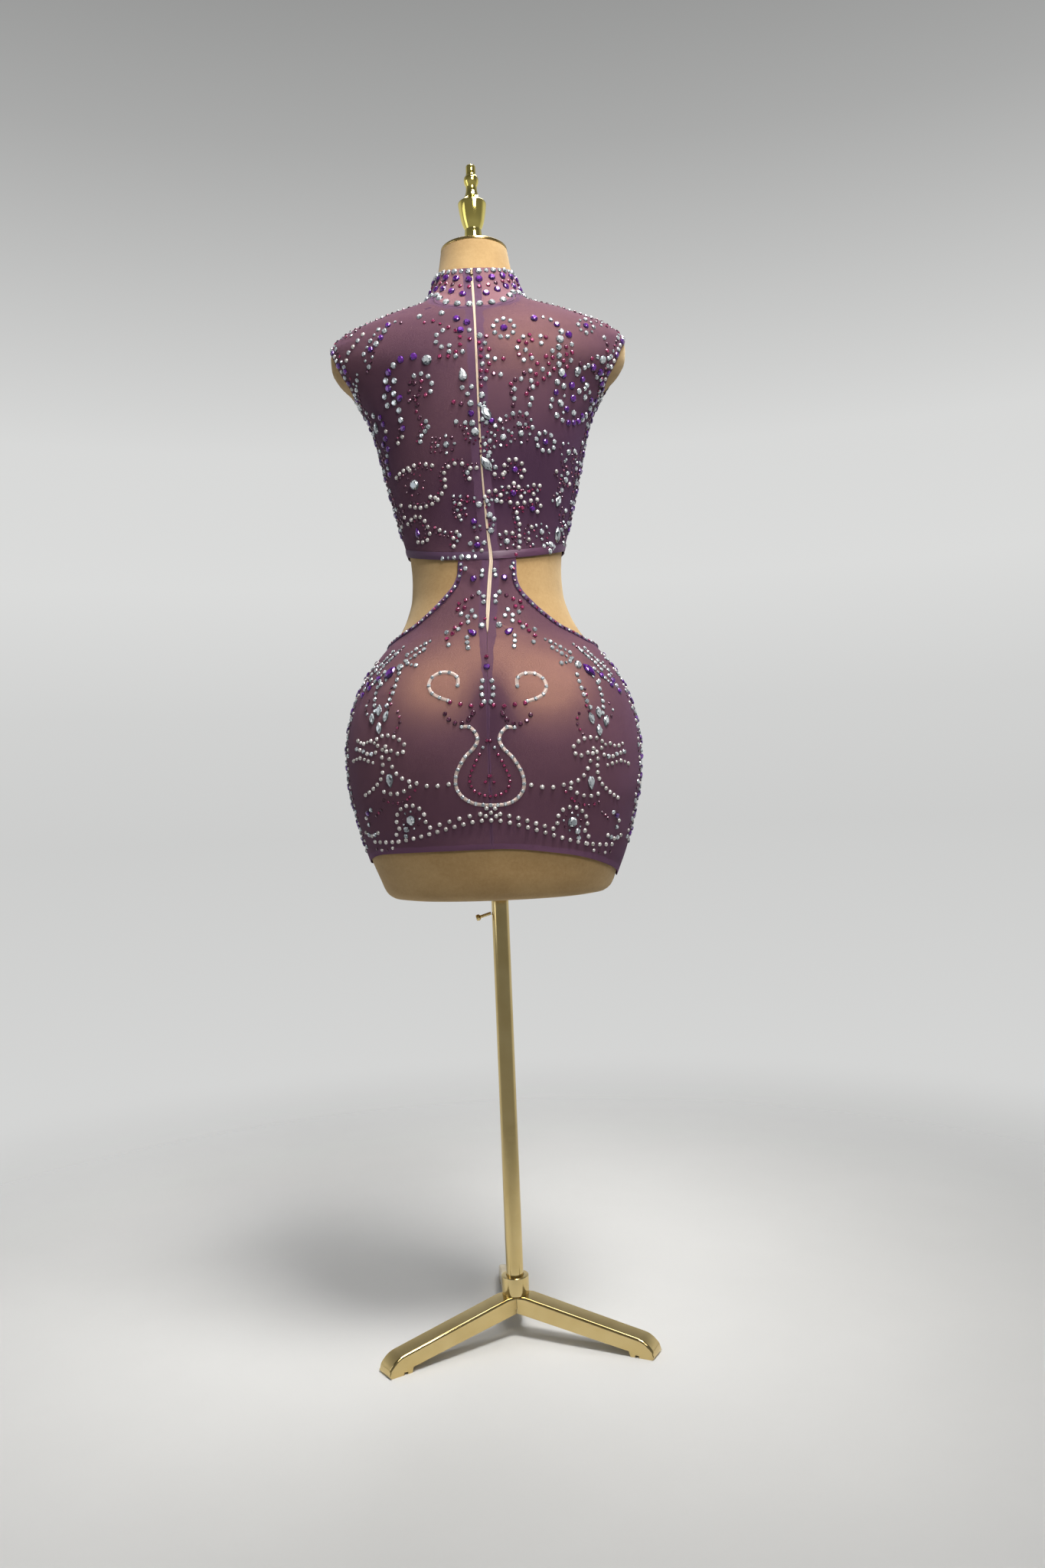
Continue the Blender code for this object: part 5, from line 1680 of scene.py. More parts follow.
# The bodice's left back: scrolls, flowers and lines of stones, as across, height and stones.
BODICE_LEFT = (
    Single(-59, 1212, "grand crystal"),
    Run(((-75, 1218), (-91, 1217)), ("purple",), 15),
    Run(((-100, 1212), (-107, 1205), (-111, 1194), (-104, 1184), (-94, 1174)), ("clear", "purple"), 10),
    Run(((-100, 1195), (-113, 1182), (-110, 1170), (-102, 1171), (-96, 1161), (-94, 1149)), ("clear",), 11),
    Run(((-92, 1139), (-93, 1130), (-99, 1124)), ("small purple", "pearl", "pearl"), 8.5),
    Circle(-69, 1182, 15, 115, -30, ("small clear",), 10.5),
    Circle(-69, 1182, 13, 150, 235, ("dark",), 9),
    Run(((-75, 1187), (-66, 1188), (-68, 1180), (-72, 1173), (-62, 1171)), ("dark", "magenta", "dark"), 8.5),
    Run(((-82, 1168), (-71, 1166), (-75, 1157), (-71, 1148), (-69, 1138)), ("dark", "tiny magenta"), 8),
    Run(((-63, 1141), (-61, 1132), (-68, 1128), (-71, 1119)), ("small clear",), 8),
    Flower(-40, 1111, "clear", ("tiny clear", "tiny dark"), 10, 8),
    Circle(-37, 1232, 19, 75, -110, ("magenta",), 10.5),
    Circle(-37, 1236, 11, 100, 300, ("small clear",), 9.5),
    Run(((-32, 1219), (-24, 1213), (-16, 1218)), ("small clear",), 9),
    Run(((-61, 1260), (-50, 1261), (-42, 1256)), ("tiny magenta", "magenta"), 10),
    Single(-67, 1270, "clear"),
    Single(-40, 1272, "clear"),
    Single(-22, 1262, "purple"),
    Single(-18, 1246, "purple"),
    Single(-10, 1256, "purple"),
    Single(-7, 1245, "small clear"),
    Single(-7, 1233, "magenta"),
    Single(-17, 1191, "drop", 12),
    Run(((-18, 1175), (-6, 1175), (-12, 1167)), ("small clear",), 11),
    Run(((-29, 1159), (-20, 1156)), ("magenta", "dark"), 9),
    Run(((-9, 1156), (-9, 1144), (-8, 1133)), ("clear", "small purple", "clear"), 11.5),
    Run(((-27, 1136), (-16, 1134)), ("small clear",), 10),
    Single(-5, 1123, "crystal"),
    Run(((-15, 1127), (-12, 1117), (-5, 1113)), ("fine clear", "fine magenta"), 7),
    Run(((-106, 1264), (-112, 1253), (-119, 1243), (-128, 1236)), ("small purple", "clear"), 9.5),
    Run(((-118, 1260), (-126, 1250), (-132, 1241), (-137, 1230), (-131, 1217)),
        ("small clear", "tiny clear"), 8),
    Run(((-124, 1232), (-128, 1222), (-133, 1213)), ("tiny dark", "tiny clear"), 6.5),
    Run(((-97, 1267), (-90, 1264)), ("tiny clear", "tiny dark"), 6),
    Run(((-138, 1258), (-148, 1248), (-157, 1240)), ("pearl", "small clear"), 10),
    Run(((-147, 1214), (-150, 1203), (-155, 1195), (-149, 1188)), ("tiny clear", "small clear"), 8),
    Run(((-160, 1232), (-163, 1222)), ("pearl", "small purple"), 9),
    Single(-128, 1153, "navette", -22),
    Single(-130, 1167, "clear"),
    Run(((-141, 1170), (-136, 1160)), ("small clear", "dark"), 9),
    Run(((-121, 1161), (-117, 1150), (-114, 1139), (-119, 1130)),
        ("small purple", "small purple", "pearl"), 10),
    Run(((-86, 1089), (-78, 1094), (-67, 1092), (-58, 1089)), ("pearl", "pearl", "tiny magenta"), 9.5),
    Run(((-104, 1086), (-97, 1090), (-88, 1092)), ("pearl",), 9),
    Flower(-81, 1071, "grand crystal", ("fine magenta", "fine dark"), 12, 9),
    Run(((-22, 1087), (-36, 1087), (-45, 1076), (-42, 1066), (-46, 1058), (-52, 1049), (-62, 1044),
         (-76, 1043), (-88, 1048)), ("pearl",), 8.8),
    Run(((-5, 1081), (-16, 1080), (-14, 1069)), ("pearl", "pearl", "small clear"), 9),
    Run(((-34, 1050), (-26, 1049), (-18, 1048), (-9, 1046)),
        ("tiny clear", "tiny clear", "tiny magenta"), 8.5),
    Run(((-33, 1042), (-27, 1041), (-30, 1033), (-28, 1026)), ("tiny clear", "pearl"), 7.5),
    Run(((-18, 1042), (-21, 1034), (-20, 1026), (-26, 1021)), ("tiny magenta", "tiny clear"), 7.5),
    Run(((-62, 1053), (-56, 1051)), ("pearl",), 8),
    Single(-4, 1038, "clear"),
    Single(-11, 1018, "small purple"),
    Run(((-92, 1029), (-84, 1034), (-77, 1033), (-70, 1026), (-66, 1016), (-65, 1007), (-71, 1002),
         (-80, 1004)), ("pearl",), 8.6),
    Single(-80, 1015, "purple drop"),
    Run(((-58, 1016), (-49, 1010), (-40, 1007), (-32, 1007)), ("tiny magenta", "pearl", "tiny clear"), 8),
    Run(((-36, 1000), (-28, 1002), (-36, 990)), ("pearl", "small clear", "tiny clear"), 8.5),
    Run(((-11, 1011), (-4, 1012)), ("tiny clear",), 7),
    Flower(-8, 989, "small purple", ("pearl", "small clear", "tiny clear"), 8.5, 5),
    Run(((-113, 1122), (-116, 1108), (-113, 1094)), ("small purple", "small clear"), 9),
    Run(((-100, 1053), (-96, 1040), (-101, 1030)), ("pearl", "dark"), 8.5),
    Run(((-52, 1120), (-54, 1104)), ("fine dark", "fine magenta"), 6),
)

# The bodice's right back.
BODICE_RIGHT = (
    Single(5, 1237, "clear"),
    Run(((4, 1228), (6, 1218), (5, 1209), (7, 1200), (4, 1191), (4, 1183), (4, 1176)),
        ("magenta", "magenta", "magenta", "small clear", "magenta", "dark"), 9),
    Run(((13, 1236), (11, 1226), (16, 1218), (13, 1209), (15, 1200), (11, 1192), (10, 1184)),
        ("magenta", "small clear", "magenta", "small clear", "magenta"), 9),
    Run(((22, 1208), (32, 1208)), ("small clear", "magenta"), 10),
    Run(((20, 1190), (28, 1189)), ("dark", "small clear"), 9),
    Flower(34, 1247, "purple", ("small clear",), 12.5, 9),
    Single(5, 1165, "clear"),
    Single(71, 1261, "purple"),
    Run(((82, 1263), (91, 1260)), ("tiny clear", "small clear"), 9),
    Run(((98, 1254), (103, 1246), (101, 1235)), ("small purple", "clear", "crystal"), 10),
    Single(112, 1242, "purple"),
    Run(((99, 1225), (99, 1216), (98, 1207), (101, 1197)), ("clear", "clear", "clear", "crystal"), 9.5),
    Run(((108, 1226), (108, 1217), (104, 1210), (108, 1204)), ("magenta",), 8.5),
    Run(((115, 1230), (115, 1221), (113, 1212)), ("small clear", "magenta", "small clear"), 9),
    Run(((84, 1236), (78, 1239), (78, 1228)), ("magenta", "small clear", "small clear"), 9.5),
    Circle(66, 1221, 17, 95, 235, ("magenta", "small clear", "magenta", "small clear"), 9),
    Circle(68, 1222, 9.5, 95, 250, ("magenta", "magenta", "small clear"), 8.5),
    Run(((66, 1210), (72, 1204), (79, 1197), (85, 1193)), ("small clear", "magenta"), 9),
    Run(((83, 1213), (92, 1213), (91, 1220)), ("magenta", "magenta", "small clear"), 8.5),
    Run(((86, 1205), (92, 1200), (86, 1193), (79, 1187)), ("magenta", "magenta", "small clear"), 8.5),
    Run(((70, 1191), (64, 1195), (54, 1190), (51, 1183), (43, 1183), (39, 1175), (45, 1171), (39, 1166),
         (43, 1161), (41, 1153)), ("magenta", "small clear", "dark", "small clear", "dark"), 8.2),
    Run(((71, 1180), (63, 1183), (66, 1173), (59, 1173), (58, 1166), (64, 1162), (61, 1155)),
        ("magenta", "small clear", "small clear", "dark"), 8.2),
    Circle(114, 1176, 23, 75, -60, ("small clear", "small purple", "clear"), 11),
    Circle(114, 1176, 21, 120, 270, ("small purple", "clear"), 12.5),
    Run(((113, 1185), (114, 1171)), ("purple",), 14),
    Run(((103, 1182), (103, 1169), (98, 1159), (101, 1152)),
        ("clear", "tiny clear", "clear", "tiny clear"), 10.5),
    Run(((122, 1181), (130, 1186), (129, 1177)), ("clear", "small clear"), 9),
    Run(((136, 1167), (143, 1180)), ("small purple",), 13),
    Flower(134, 1257, "small purple", ("small clear", "tiny clear"), 9.5, 8),
    Run(((153, 1220), (144, 1221), (137, 1215), (132, 1206), (126, 1211), (121, 1202)),
        ("crystal", "small clear", "magenta", "small clear", "small clear", "dark"), 9.5),
    Run(((141, 1210), (145, 1202), (150, 1208)), ("purple", "tiny dark", "small clear"), 9),
    Run(((156, 1246), (160, 1238), (159, 1230), (161, 1222), (158, 1212), (152, 1203)),
        ("small clear", "dark", "magenta", "small clear"), 8.5),
    Run(((149, 1192), (152, 1199)), ("small clear", "purple"), 9),
    Run(((131, 1158), (123, 1150), (112, 1143), (102, 1142), (93, 1147)),
        ("small clear", "clear", "small purple", "small purple", "small purple"), 10),
    Run(((88, 1164), (86, 1156)), ("small clear",), 8.5),
    Single(9, 1144, "grand navette", 32),
    Run(((2, 1154), (8, 1156), (7, 1151)), ("small clear", "tiny clear"), 6.5),
    Single(15, 1135, "small purple"),
    Run(((4, 1137), (9, 1133)), ("small clear",), 7),
    Run(((25, 1136), (33, 1141), (42, 1144), (50, 1146), (57, 1144), (62, 1137), (63, 1129)),
        ("small clear", "tiny clear"), 8.6),
    Run(((47, 1132), (55, 1132)), ("small clear", "tiny clear"), 8),
    Flower(28, 1116, "clear", ("tiny clear", "fine magenta"), 10, 9),
    Flower(49, 1121, "clear", ("tiny clear", "fine dark"), 10.5, 8),
    Run(((19, 1129), (14, 1121), (12, 1110), (17, 1104), (11, 1098)), ("small clear", "tiny clear"), 8.5),
    Run(((4, 1116), (6, 1108), (5, 1097), (12, 1093), (15, 1087), (17, 1081)),
        ("tiny clear", "small clear"), 8.5),
    Flower(78, 1114, "small purple", ("small clear",), 11, 9),
    Flower(106, 1108, "clear", ("fine clear", "tiny clear", "fine dark"), 10, 9),
    Run(((114, 1112), (117, 1100), (114, 1088), (117, 1076)), ("small clear", "dark", "tiny clear"), 7.5),
    Run(((101, 1096), (104, 1085), (101, 1074), (96, 1062)), ("tiny clear", "dark", "small clear"), 7.5),
    Run(((90, 1082), (97, 1078), (106, 1072)), ("pearl", "tiny clear", "clear"), 8.5),
    Single(7, 1085, "grand navette", 36),
    Circle(39, 1079, 12, 200, -45, ("pearl",), 8.6),
    Single(40, 1079, "small purple"),
    Run(((16, 1073), (26, 1073)), ("pearl",), 9),
    Run(((24, 1058), (33, 1058), (40, 1063), (47, 1054), (53, 1059), (61, 1062), (69, 1062)),
        ("tiny clear", "pearl", "pearl", "pearl", "tiny dark"), 8.5),
    Run(((37, 1051), (29, 1051), (32, 1045)), ("small purple", "tiny clear", "tiny magenta"), 7),
    Run(((66, 1056), (60, 1051), (54, 1055), (46, 1047)), ("tiny clear", "pearl", "tiny magenta"), 8),
    Circle(13, 1044, 10, 165, -20, ("pearl",), 8),
    Run(((17, 1042), (11, 1043), (5, 1041), (8, 1037)), ("small clear", "tiny clear"), 6.5),
    Run(((33, 1040), (43, 1039), (52, 1041), (59, 1044), (66, 1045), (69, 1038), (65, 1031)),
        ("pearl",), 8.8),
    Single(59, 1034, "small purple"),
    Run(((37, 1033), (47, 1034)), ("tiny magenta", "magenta"), 8),
    Run(((40, 1028), (41, 1020), (43, 1013), (42, 1006), (42, 999), (42, 992), (41, 986)),
        ("pearl", "small clear", "pearl", "tiny clear"), 7.4),
    Run(((8, 1025), (13, 1020), (12, 1013), (9, 1006)), ("clear", "small clear", "tiny clear"), 7.5),
    Run(((19, 1001), (26, 1004), (34, 1003)), ("tiny clear", "pearl", "pearl"), 7.6),
    Flower(27, 993, "clear", ("fine clear", "tiny dark"), 8.5, 6),
    Run(((57, 1012), (53, 1004), (53, 997), (58, 991)), ("pearl", "tiny clear"), 7.5),
    Flower(69, 1008, "clear", ("fine clear", "tiny clear", "fine magenta"), 9, 8),
    Single(91, 1048, "navette", -20),
    Run(((84, 1047), (87, 1054), (94, 1058)), ("tiny clear", "tiny dark"), 7),
    Single(88, 1008, "grand navette", 14),
    Run(((94, 1016), (97, 1008), (95, 1000), (99, 1003)), ("small clear", "tiny clear", "dark"), 6.5),
    Run(((71, 991), (77, 995), (84, 992), (78, 986)), ("small clear", "tiny clear", "clear"), 7),
    Run(((100, 1040), (96, 1030), (99, 1022)), ("small clear", "dark", "tiny clear"), 7.5),
)

BAND_STONES = (
    Run(((-50, 977), (-43, 977), (-36, 976)), ("small clear", "tiny clear", "small clear"), 7),
    Single(-27, 976, "clear"),
    Single(-19, 975, "clear"),
    Single(-11, 975, "small clear"),
    Single(37, 977, "magenta"),
)

# The panel between the cut-outs and the top of the seat: one side, laid again mirrored.
PANEL_STONES = (
    Single(18, 948, "small purple"),
    Run(((7, 957), (8, 951)), ("small clear",), 6),
    Single(27, 961, "small clear"),
    Run(((12, 930), (7, 925), (7, 918)), ("small clear",), 7),
    Run(((20, 926), (29, 921), (36, 918)), ("dark", "magenta", "magenta"), 9),
    Run(((30, 912), (38, 911)), ("magenta",), 8.5),
    Run(((21, 908), (17, 901), (27, 901), (34, 905)), ("small clear",), 8.5),
    Run(((26, 894), (35, 892), (42, 888)), ("small clear", "magenta", "magenta"), 8.5),
    Single(10, 889, "clear"),
    Single(6, 897, "tiny magenta"),
    Single(22, 881, "purple drop", -55),
    Run(((38, 886), (45, 881)), ("small clear", "magenta"), 8.5),
    Run(((52, 883), (52, 875), (50, 867)), ("small clear", "magenta", "small clear"), 8),
    Run(((28, 875), (28, 869), (27, 862)), ("small clear",), 6.5),
)
CENTRE_SEAM_STONES = (
    Single(-2, 850, "magenta"),
    Single(-2, 838, "small purple"),
)

# The hip: sprays of small stones about a large crystal and a purple navette, one side.
HIP_STONES = (
    Run(((68, 872), (77, 868), (86, 863), (97, 857)), ("tiny clear", "small clear"), 6.5),
    Run(((76, 862), (87, 855), (98, 849)), ("small clear", "tiny clear"), 7),
    Run(((86, 843), (95, 845), (100, 850)), ("small clear", "tiny clear"), 7),
    Single(106, 842, "crystal"),
    Single(119, 836, "purple navette", 40),
    Run(((108, 864), (114, 858), (121, 852), (128, 846), (135, 838)), ("tiny clear", "small clear"), 5.6),
    Run(((102, 868), (110, 861), (117, 855)), ("tiny clear", "tiny dark"), 5.6),
    Run(((116, 864), (123, 857), (131, 850), (139, 842)), ("small clear", "tiny clear"), 5.8),
    Run(((126, 838), (133, 832), (141, 826), (147, 820)), ("small clear", "tiny clear", "small purple"), 6.5),
    Run(((124, 828), (131, 823)), ("tiny clear", "small clear"), 6.5),
    Run(((138, 848), (145, 838), (151, 829)), ("tiny clear", "tiny dark", "small clear"), 6),
    Run(((145, 831), (152, 822), (157, 813)), ("small clear", "small purple"), 7.5),
)

# The skirt, one side: distance from the centre seam and height there.
SKIRT_THREADS = (
    ((35, 815), (35, 824), (42, 830), (54, 831), (64, 826), (69, 817), (66, 807), (57, 801), (46, 797)),
    ((31, 766), (22, 766), (15, 759), (13, 750), (18, 741), (27, 732), (33, 723), (38, 713), (40, 702),
     (38, 692), (31, 683), (20, 677), (8, 675), (0, 675)),
)
THREAD_STONES = (("scroll clear", 10.6), ("scroll clear", 8.7))
SKIRT_STONES = (
    Run(((5.5, 821), (7, 812), (6.5, 804), (4, 796)), ("small clear",), 7.6),
    Run(((7, 792), (20, 791), (32, 793), (44, 795)), ("magenta",), 12.5),
    Circle(34, 787, 17, 200, 340, ("dark",), 9),
    Run(((17, 783), (22, 776)), ("dark",), 9),
    Run(((2, 750), (7, 742), (11, 734)), ("tiny magenta", "tiny clear"), 7.5),
    Run(((15, 727), (19, 718), (23, 709), (23, 700), (19, 692), (10, 687), (0, 685)), ("tiny magenta",), 6.6),
    Single(5, 702, "tiny magenta"),
    Single(1, 709, "tiny magenta"),
    Run(((48, 699), (61, 697), (74, 697), (86, 700)), ("pearl",), 12),
    Run(((86, 700), (97, 703), (107, 708), (114, 717), (118, 727), (122, 738)), ("pearl",), 9.6),
    Run(((127, 740), (128, 730), (127, 721), (128, 712), (131, 704), (137, 697), (144, 691), (152, 686)),
        ("pearl",), 8.6),
    Run(((94, 696), (103, 690), (115, 687), (127, 690)), ("pearl",), 10.5),
    Single(119, 703, "drop", 180),
    Run(((98, 681), (107, 677), (117, 676), (128, 680)), ("tiny magenta", "tiny dark"), 7.5),
    Run(((88, 692), (95, 684)), ("tiny magenta",), 8),
    Run(((101, 737), (99, 745), (106, 752), (115, 756), (125, 757), (134, 753)), ("pearl",), 8.8),
    Run(((108, 735), (115, 738), (123, 744)), ("pearl",), 8.6),
    Run(((133, 745), (142, 751), (152, 748), (160, 752)), ("pearl", "small pearl"), 7.6),
    Run(((136, 737), (145, 735), (153, 739), (162, 742)), ("pearl", "small clear"), 7.6),
    Run(((140, 725), (149, 728), (158, 731), (167, 728)), ("small pearl", "pearl"), 7.8),
    Run(((106, 832), (109, 822), (112, 812), (116, 802), (121, 793)), ("small clear",), 8.8),
    Run(((115, 815), (117, 805), (115, 797), (119, 788)), ("tiny dark", "tiny magenta"), 7),
    Run(((131, 824), (134, 815), (136, 806), (137, 796), (136, 787)), ("small clear",), 8.6),
    Run(((145, 800), (149, 792), (147, 784)), ("tiny dark", "tiny clear"), 7.5),
    Single(131, 788, "navette", 0),
    Single(122, 780, "navette", 18),
    Single(140, 778, "navette", -18),
    Single(131, 766, "navette", 180),
    Run(((107, 785), (104, 776), (106, 768), (111, 760)), ("tiny dark", "tiny magenta"), 6.8),
    Flower(95, 656, "grand crystal", ("fine clear", "fine dark"), 10.5, 9),
    Single(101, 645, "clear"),
    Single(102, 637, "small clear"),
    Circle(95, 656, 18, 185, -35, ("pearl",), 9.6),
    Run(((110, 646), (114, 638), (112, 630)), ("pearl",), 8.4),
    Run(((0, 657), (15, 656), (32, 652), (50, 647), (70, 641), (90, 635), (108, 631), (126, 629),
         (143, 629)), ("pearl",), 11.2),
    Run(((0, 666), (14, 664), (32, 660), (52, 654), (72, 648)), ("pearl",), 11.6),
    Run(((138, 640), (147, 636), (155, 640)), ("pearl", "small clear"), 8),
    Run(((120, 622), (130, 619), (141, 620)), ("small pearl", "tiny dark"), 9),
    Run(((5, 671), (6, 662)), ("pearl",), 8),
    Run(((146, 668), (153, 660), (150, 650)), ("small clear", "small purple", "pearl"), 8),
    Run(((132, 668), (139, 661)), ("tiny dark", "tiny magenta"), 7.5),
)


# The threads under the scrolls: half width in metres, step along them in millimetres, and their section as
# shares of the half width and rises in metres.
THREAD = {"half_width": 0.0023, "step": 1.6,
          "profile": ((-1, -0.0002), (-0.6, 0.0006), (0, 0.0009), (0.6, 0.0006), (1, -0.0002))}

# Rows round the collar, from its top down to the neckline's seam: how far up it they lie, spacing in metres,
# whether the stones lie between those of an even row, and the stones.
COLLAR_ROWS = (
    (0.92, 0.0090, False, ("clear", "small clear")),
    (0.72, 0.0165, False, ("purple",)),
    (0.53, 0.0115, False, ("magenta", "magenta", "dark")),
    (0.34, 0.0165, True, ("purple",)),
    (0.09, 0.0150, False, ("large clear",)),
)
COLLAR_GAP = 0.006

BINDING_ROW = {"spacing": 0.0072, "inward": 0.66,
               "stones": ("tiny clear", "tiny magenta", "tiny clear", "tiny dark")}

# Two rows round each armhole: how far from its edge and spacing, both in metres, and stones.
ARMHOLE_ROWS = (
    (0.0045, 0.0078, ("small clear", "pearl", "small purple")),
    (0.0115, 0.0074, ("tiny dark", "small clear", "tiny clear", "tiny magenta")),
)

# Lines over each shoulder, from the collar to the armhole: how many millimetres in front of the side they
# lie, or behind it where below zero, and stones.
SHOULDER_LINES = (
    (-50.0, ("tiny dark", "tiny clear", "tiny dark")),
    (-42.0, ("tiny clear", "tiny magenta")),
    (-32.0, ("tiny dark", "fine clear", "tiny dark")),
    (-20.0, ("tiny clear", "tiny dark")),
    (-6.0, ("small clear", "tiny magenta", "tiny dark")),
    (8.0, ("tiny clear", "tiny dark")),
)
SHOULDER = {"top": 1.2995, "bottom": 1.2610, "first": 0.004, "spacing": 0.0072}

# Waving columns down the bodice's sides and over the hips: low and high ends in metres, how many millimetres
# in front of the side they lie, or behind it where below zero, spacing in millimetres, and stones.
SIDE_COLUMNS = (
    (1.020, 1.190, -22, 6.6, ("tiny dark", "small clear", "fine dark", "tiny magenta")),
    (1.020, 1.188, -11, 8.6, ("small purple", "small clear", "tiny dark")),
    (1.020, 1.184, 0, 8.0, ("tiny clear", "small purple", "dark")),
    (1.020, 1.188, 11, 8.6, ("small clear", "tiny magenta", "small purple")),
    (1.020, 1.190, 22, 8.2, ("tiny clear", "dark", "small clear")),
    (0.628, 0.860, -30, 8.0, ("small clear", "small pearl", "tiny dark")),
    (0.624, 0.862, -20, 8.4, ("small pearl", "small purple", "tiny clear")),
    (0.622, 0.862, -10, 8.0, ("small clear", "tiny clear", "small purple")),
    (0.622, 0.862, 0, 8.2, ("small purple", "small clear", "tiny dark", "tiny clear")),
    (0.622, 0.862, 10, 8.0, ("small clear", "tiny clear", "small purple")),
    (0.624, 0.862, 20, 8.4, ("small pearl", "small purple", "tiny clear")),
    (0.628, 0.860, 30, 8.0, ("small clear", "small pearl", "tiny dark")),
)
SIDE_WAVE = {"height": 0.0035, "length": 0.055, "shift": 40}

SLANT = 0.05
PANEL_CENTRE = 0.004


def lay_threads(face, parts):
    """Pale twisted threads under the scrolls."""
    for places in SKIRT_THREADS:
        angles, heights = face.even_spots(smooth_line(places), THREAD["step"])
        points = lifted_point(angles, heights, cloth_outside(angles, heights))
        normals = form_normal(angles, heights)
        forward = np.gradient(points, axis=0)
        forward = forward / np.linalg.norm(forward, axis=1, keepdims=True)
        across = np.cross(forward, normals)
        grid = np.array([points + across * THREAD["half_width"] * share + normals * rise
                         for share, rise in THREAD["profile"]])
        faces = grid_faces(len(grid), len(points))
        parts.append((grid.reshape(-1, 3), faces, cut_places(grid).reshape(-1, 3)))


def make_threads(parts):
    mesh = joined([(points, faces) for points, faces, _ in parts], "scroll_threads", SHARP["thread"])
    set_places(mesh, "cut_place", np.concatenate([places for _, _, places in parts]))
    new_piece("scroll_threads", mesh, "thread")


def lay_at(tray, line, distances, stones, extra_lift=0.0):
    """Sets stones in turn at distances along a line of angles and heights on the form."""
    angles, heights = line
    lengths = lengths_along(form_point(angles, heights))
    for step, distance in enumerate(distances(lengths[-1])):
        angle, height = np.interp(distance, lengths, angles), np.interp(distance, lengths, heights)
        tray.add(stones[step % len(stones)], angle, height, extra_lift=extra_lift)


def spaced(first, spacing, left=0.0):
    """Distances along a line: the first, then evenly until a length is left."""
    return lambda length: np.arange(first, length - left, spacing)


def collar_distances(spacing, between):
    """Distances round the collar with a gap at both ends, or those half way between them."""
    def distances(length):
        count = round((length - 2 * COLLAR_GAP) / spacing)
        even = np.linspace(COLLAR_GAP, length - COLLAR_GAP, count + 1)
        return (even[:-1] + even[1:]) / 2 if between else even
    return distances


def lay_collar_stones(tray):
    """The rows round the collar."""
    points = 400
    turns = np.linspace(BACK - 2 * math.pi, BACK, points)
    low, high = edge_height(NECKLINE, turns), edge_height(COLLAR_TOP, turns)
    for share, spacing, between, stones in COLLAR_ROWS:
        lay_at(tray, (turns, low + (high - low) * share), collar_distances(spacing, between), stones)


def lay_binding_stones(tray):
    """Clear and coloured stones in turn along both bindings."""
    spacing, inward = BINDING_ROW["spacing"], BINDING_ROW["inward"]
    for side in (-1, 1):
        angles, heights = binding_path(side)
        moves = binding_moves(side, angles, heights)
        middle = angles + moves[:, 0] * inward, heights + moves[:, 1] * inward
        lay_at(tray, middle, spaced(spacing / 2, spacing), BINDING_ROW["stones"], BINDING_HEIGHT + SHELL)


def lay_armhole_stones(tray):
    """Two close rows round each armhole's edge."""
    points, least_inset, first, left = 34, 0.25, 0.003, 0.002
    turns = np.linspace(-1, 1, points) * math.pi / 2
    around = np.cos(turns)
    for at, sides in ((0.0, (1, -1)), (LEFT, (-1, 1))):
        for side in sides:
            for inset, spacing, stones in ARMHOLE_ROWS:
                heights = ARMHOLE_CENTRE + (ARMHOLE_HALF_HEIGHT + inset) * np.sin(turns)
                depth = smooth_column(FORM_RINGS, "back", heights)
                out = ARMHOLE_REACH * around + inset / depth * np.clip(around, least_inset, 1)
                lay_at(tray, (at + side * out, heights), spaced(first, spacing, left), stones)


def lay_shoulder_stones(tray):
    """Close lines of small stones over each shoulder, from the collar to the armhole."""
    points = 200
    heights = np.linspace(SHOULDER["top"], SHOULDER["bottom"], points)
    depth = smooth_column(FORM_RINGS, "back", heights)
    for at, turn in ((0.0, 1), (LEFT, -1)):
        for off_side, stones in SHOULDER_LINES:
            angles = at + off_side * MM / depth * turn
            lay_at(tray, (angles, heights), spaced(SHOULDER["first"], SHOULDER["spacing"]), stones)


def lay_side_stones(tray):
    """Waving columns of stones down the bodice's sides and over the hips."""
    points, first = 240, 0.002
    for low, high, off_side, spacing, stones in SIDE_COLUMNS:
        for at, turn in ((0.0, 1), (LEFT, -1)):
            heights = np.linspace(low, high, points)
            depth = smooth_column(FORM_RINGS, "back", heights)
            wave = np.sin(2 * math.pi * (heights / SIDE_WAVE["length"] + off_side / SIDE_WAVE["shift"]))
            angles = at + turn * (off_side * MM + SIDE_WAVE["height"] * wave) / depth
            lay_at(tray, (angles, heights), spaced(first, spacing * MM), stones)


def lay_skirt(tray, threads, at_back):
    """The skirt's layout on one face: the same on both sides of the centre seam."""
    for mirrored in (True, False):
        face = Face(at_back, mirrored, SLANT, zip_across if at_back else None)
        lay_threads(face, threads)
        for places, (stone, spacing) in zip(SKIRT_THREADS, THREAD_STONES):
            lay_line(tray, face, smooth_line(places), (stone,), spacing)
        lay_all(tray, face, SKIRT_STONES)
        lay_all(tray, Face(at_back, mirrored, SLANT / 2), HIP_STONES)


def add_stones():
    threads = []
    tray = StoneTray(seed=11)
    back = Face(True)
    for items in (BODICE_LEFT, BODICE_RIGHT, CENTRE_SEAM_STONES):
        lay_all(tray, back, items)
    for mirrored in (True, False):
        centred = Face(True, mirrored, 0.0, lambda height: PANEL_CENTRE * np.ones_like(height))
        lay_all(tray, centred, PANEL_STONES)
        lay_all(tray, Face(False, mirrored), BODICE_RIGHT)
        lay_all(tray, Face(False, mirrored), PANEL_STONES)
    lay_all(tray, back, BAND_STONES)
    for at_back in (True, False):
        lay_skirt(tray, threads, at_back)
    for lay in (lay_collar_stones, lay_binding_stones, lay_armhole_stones, lay_shoulder_stones,
                lay_side_stones):
        lay(tray)
    tray.make_pieces("stones")
    make_threads(threads)


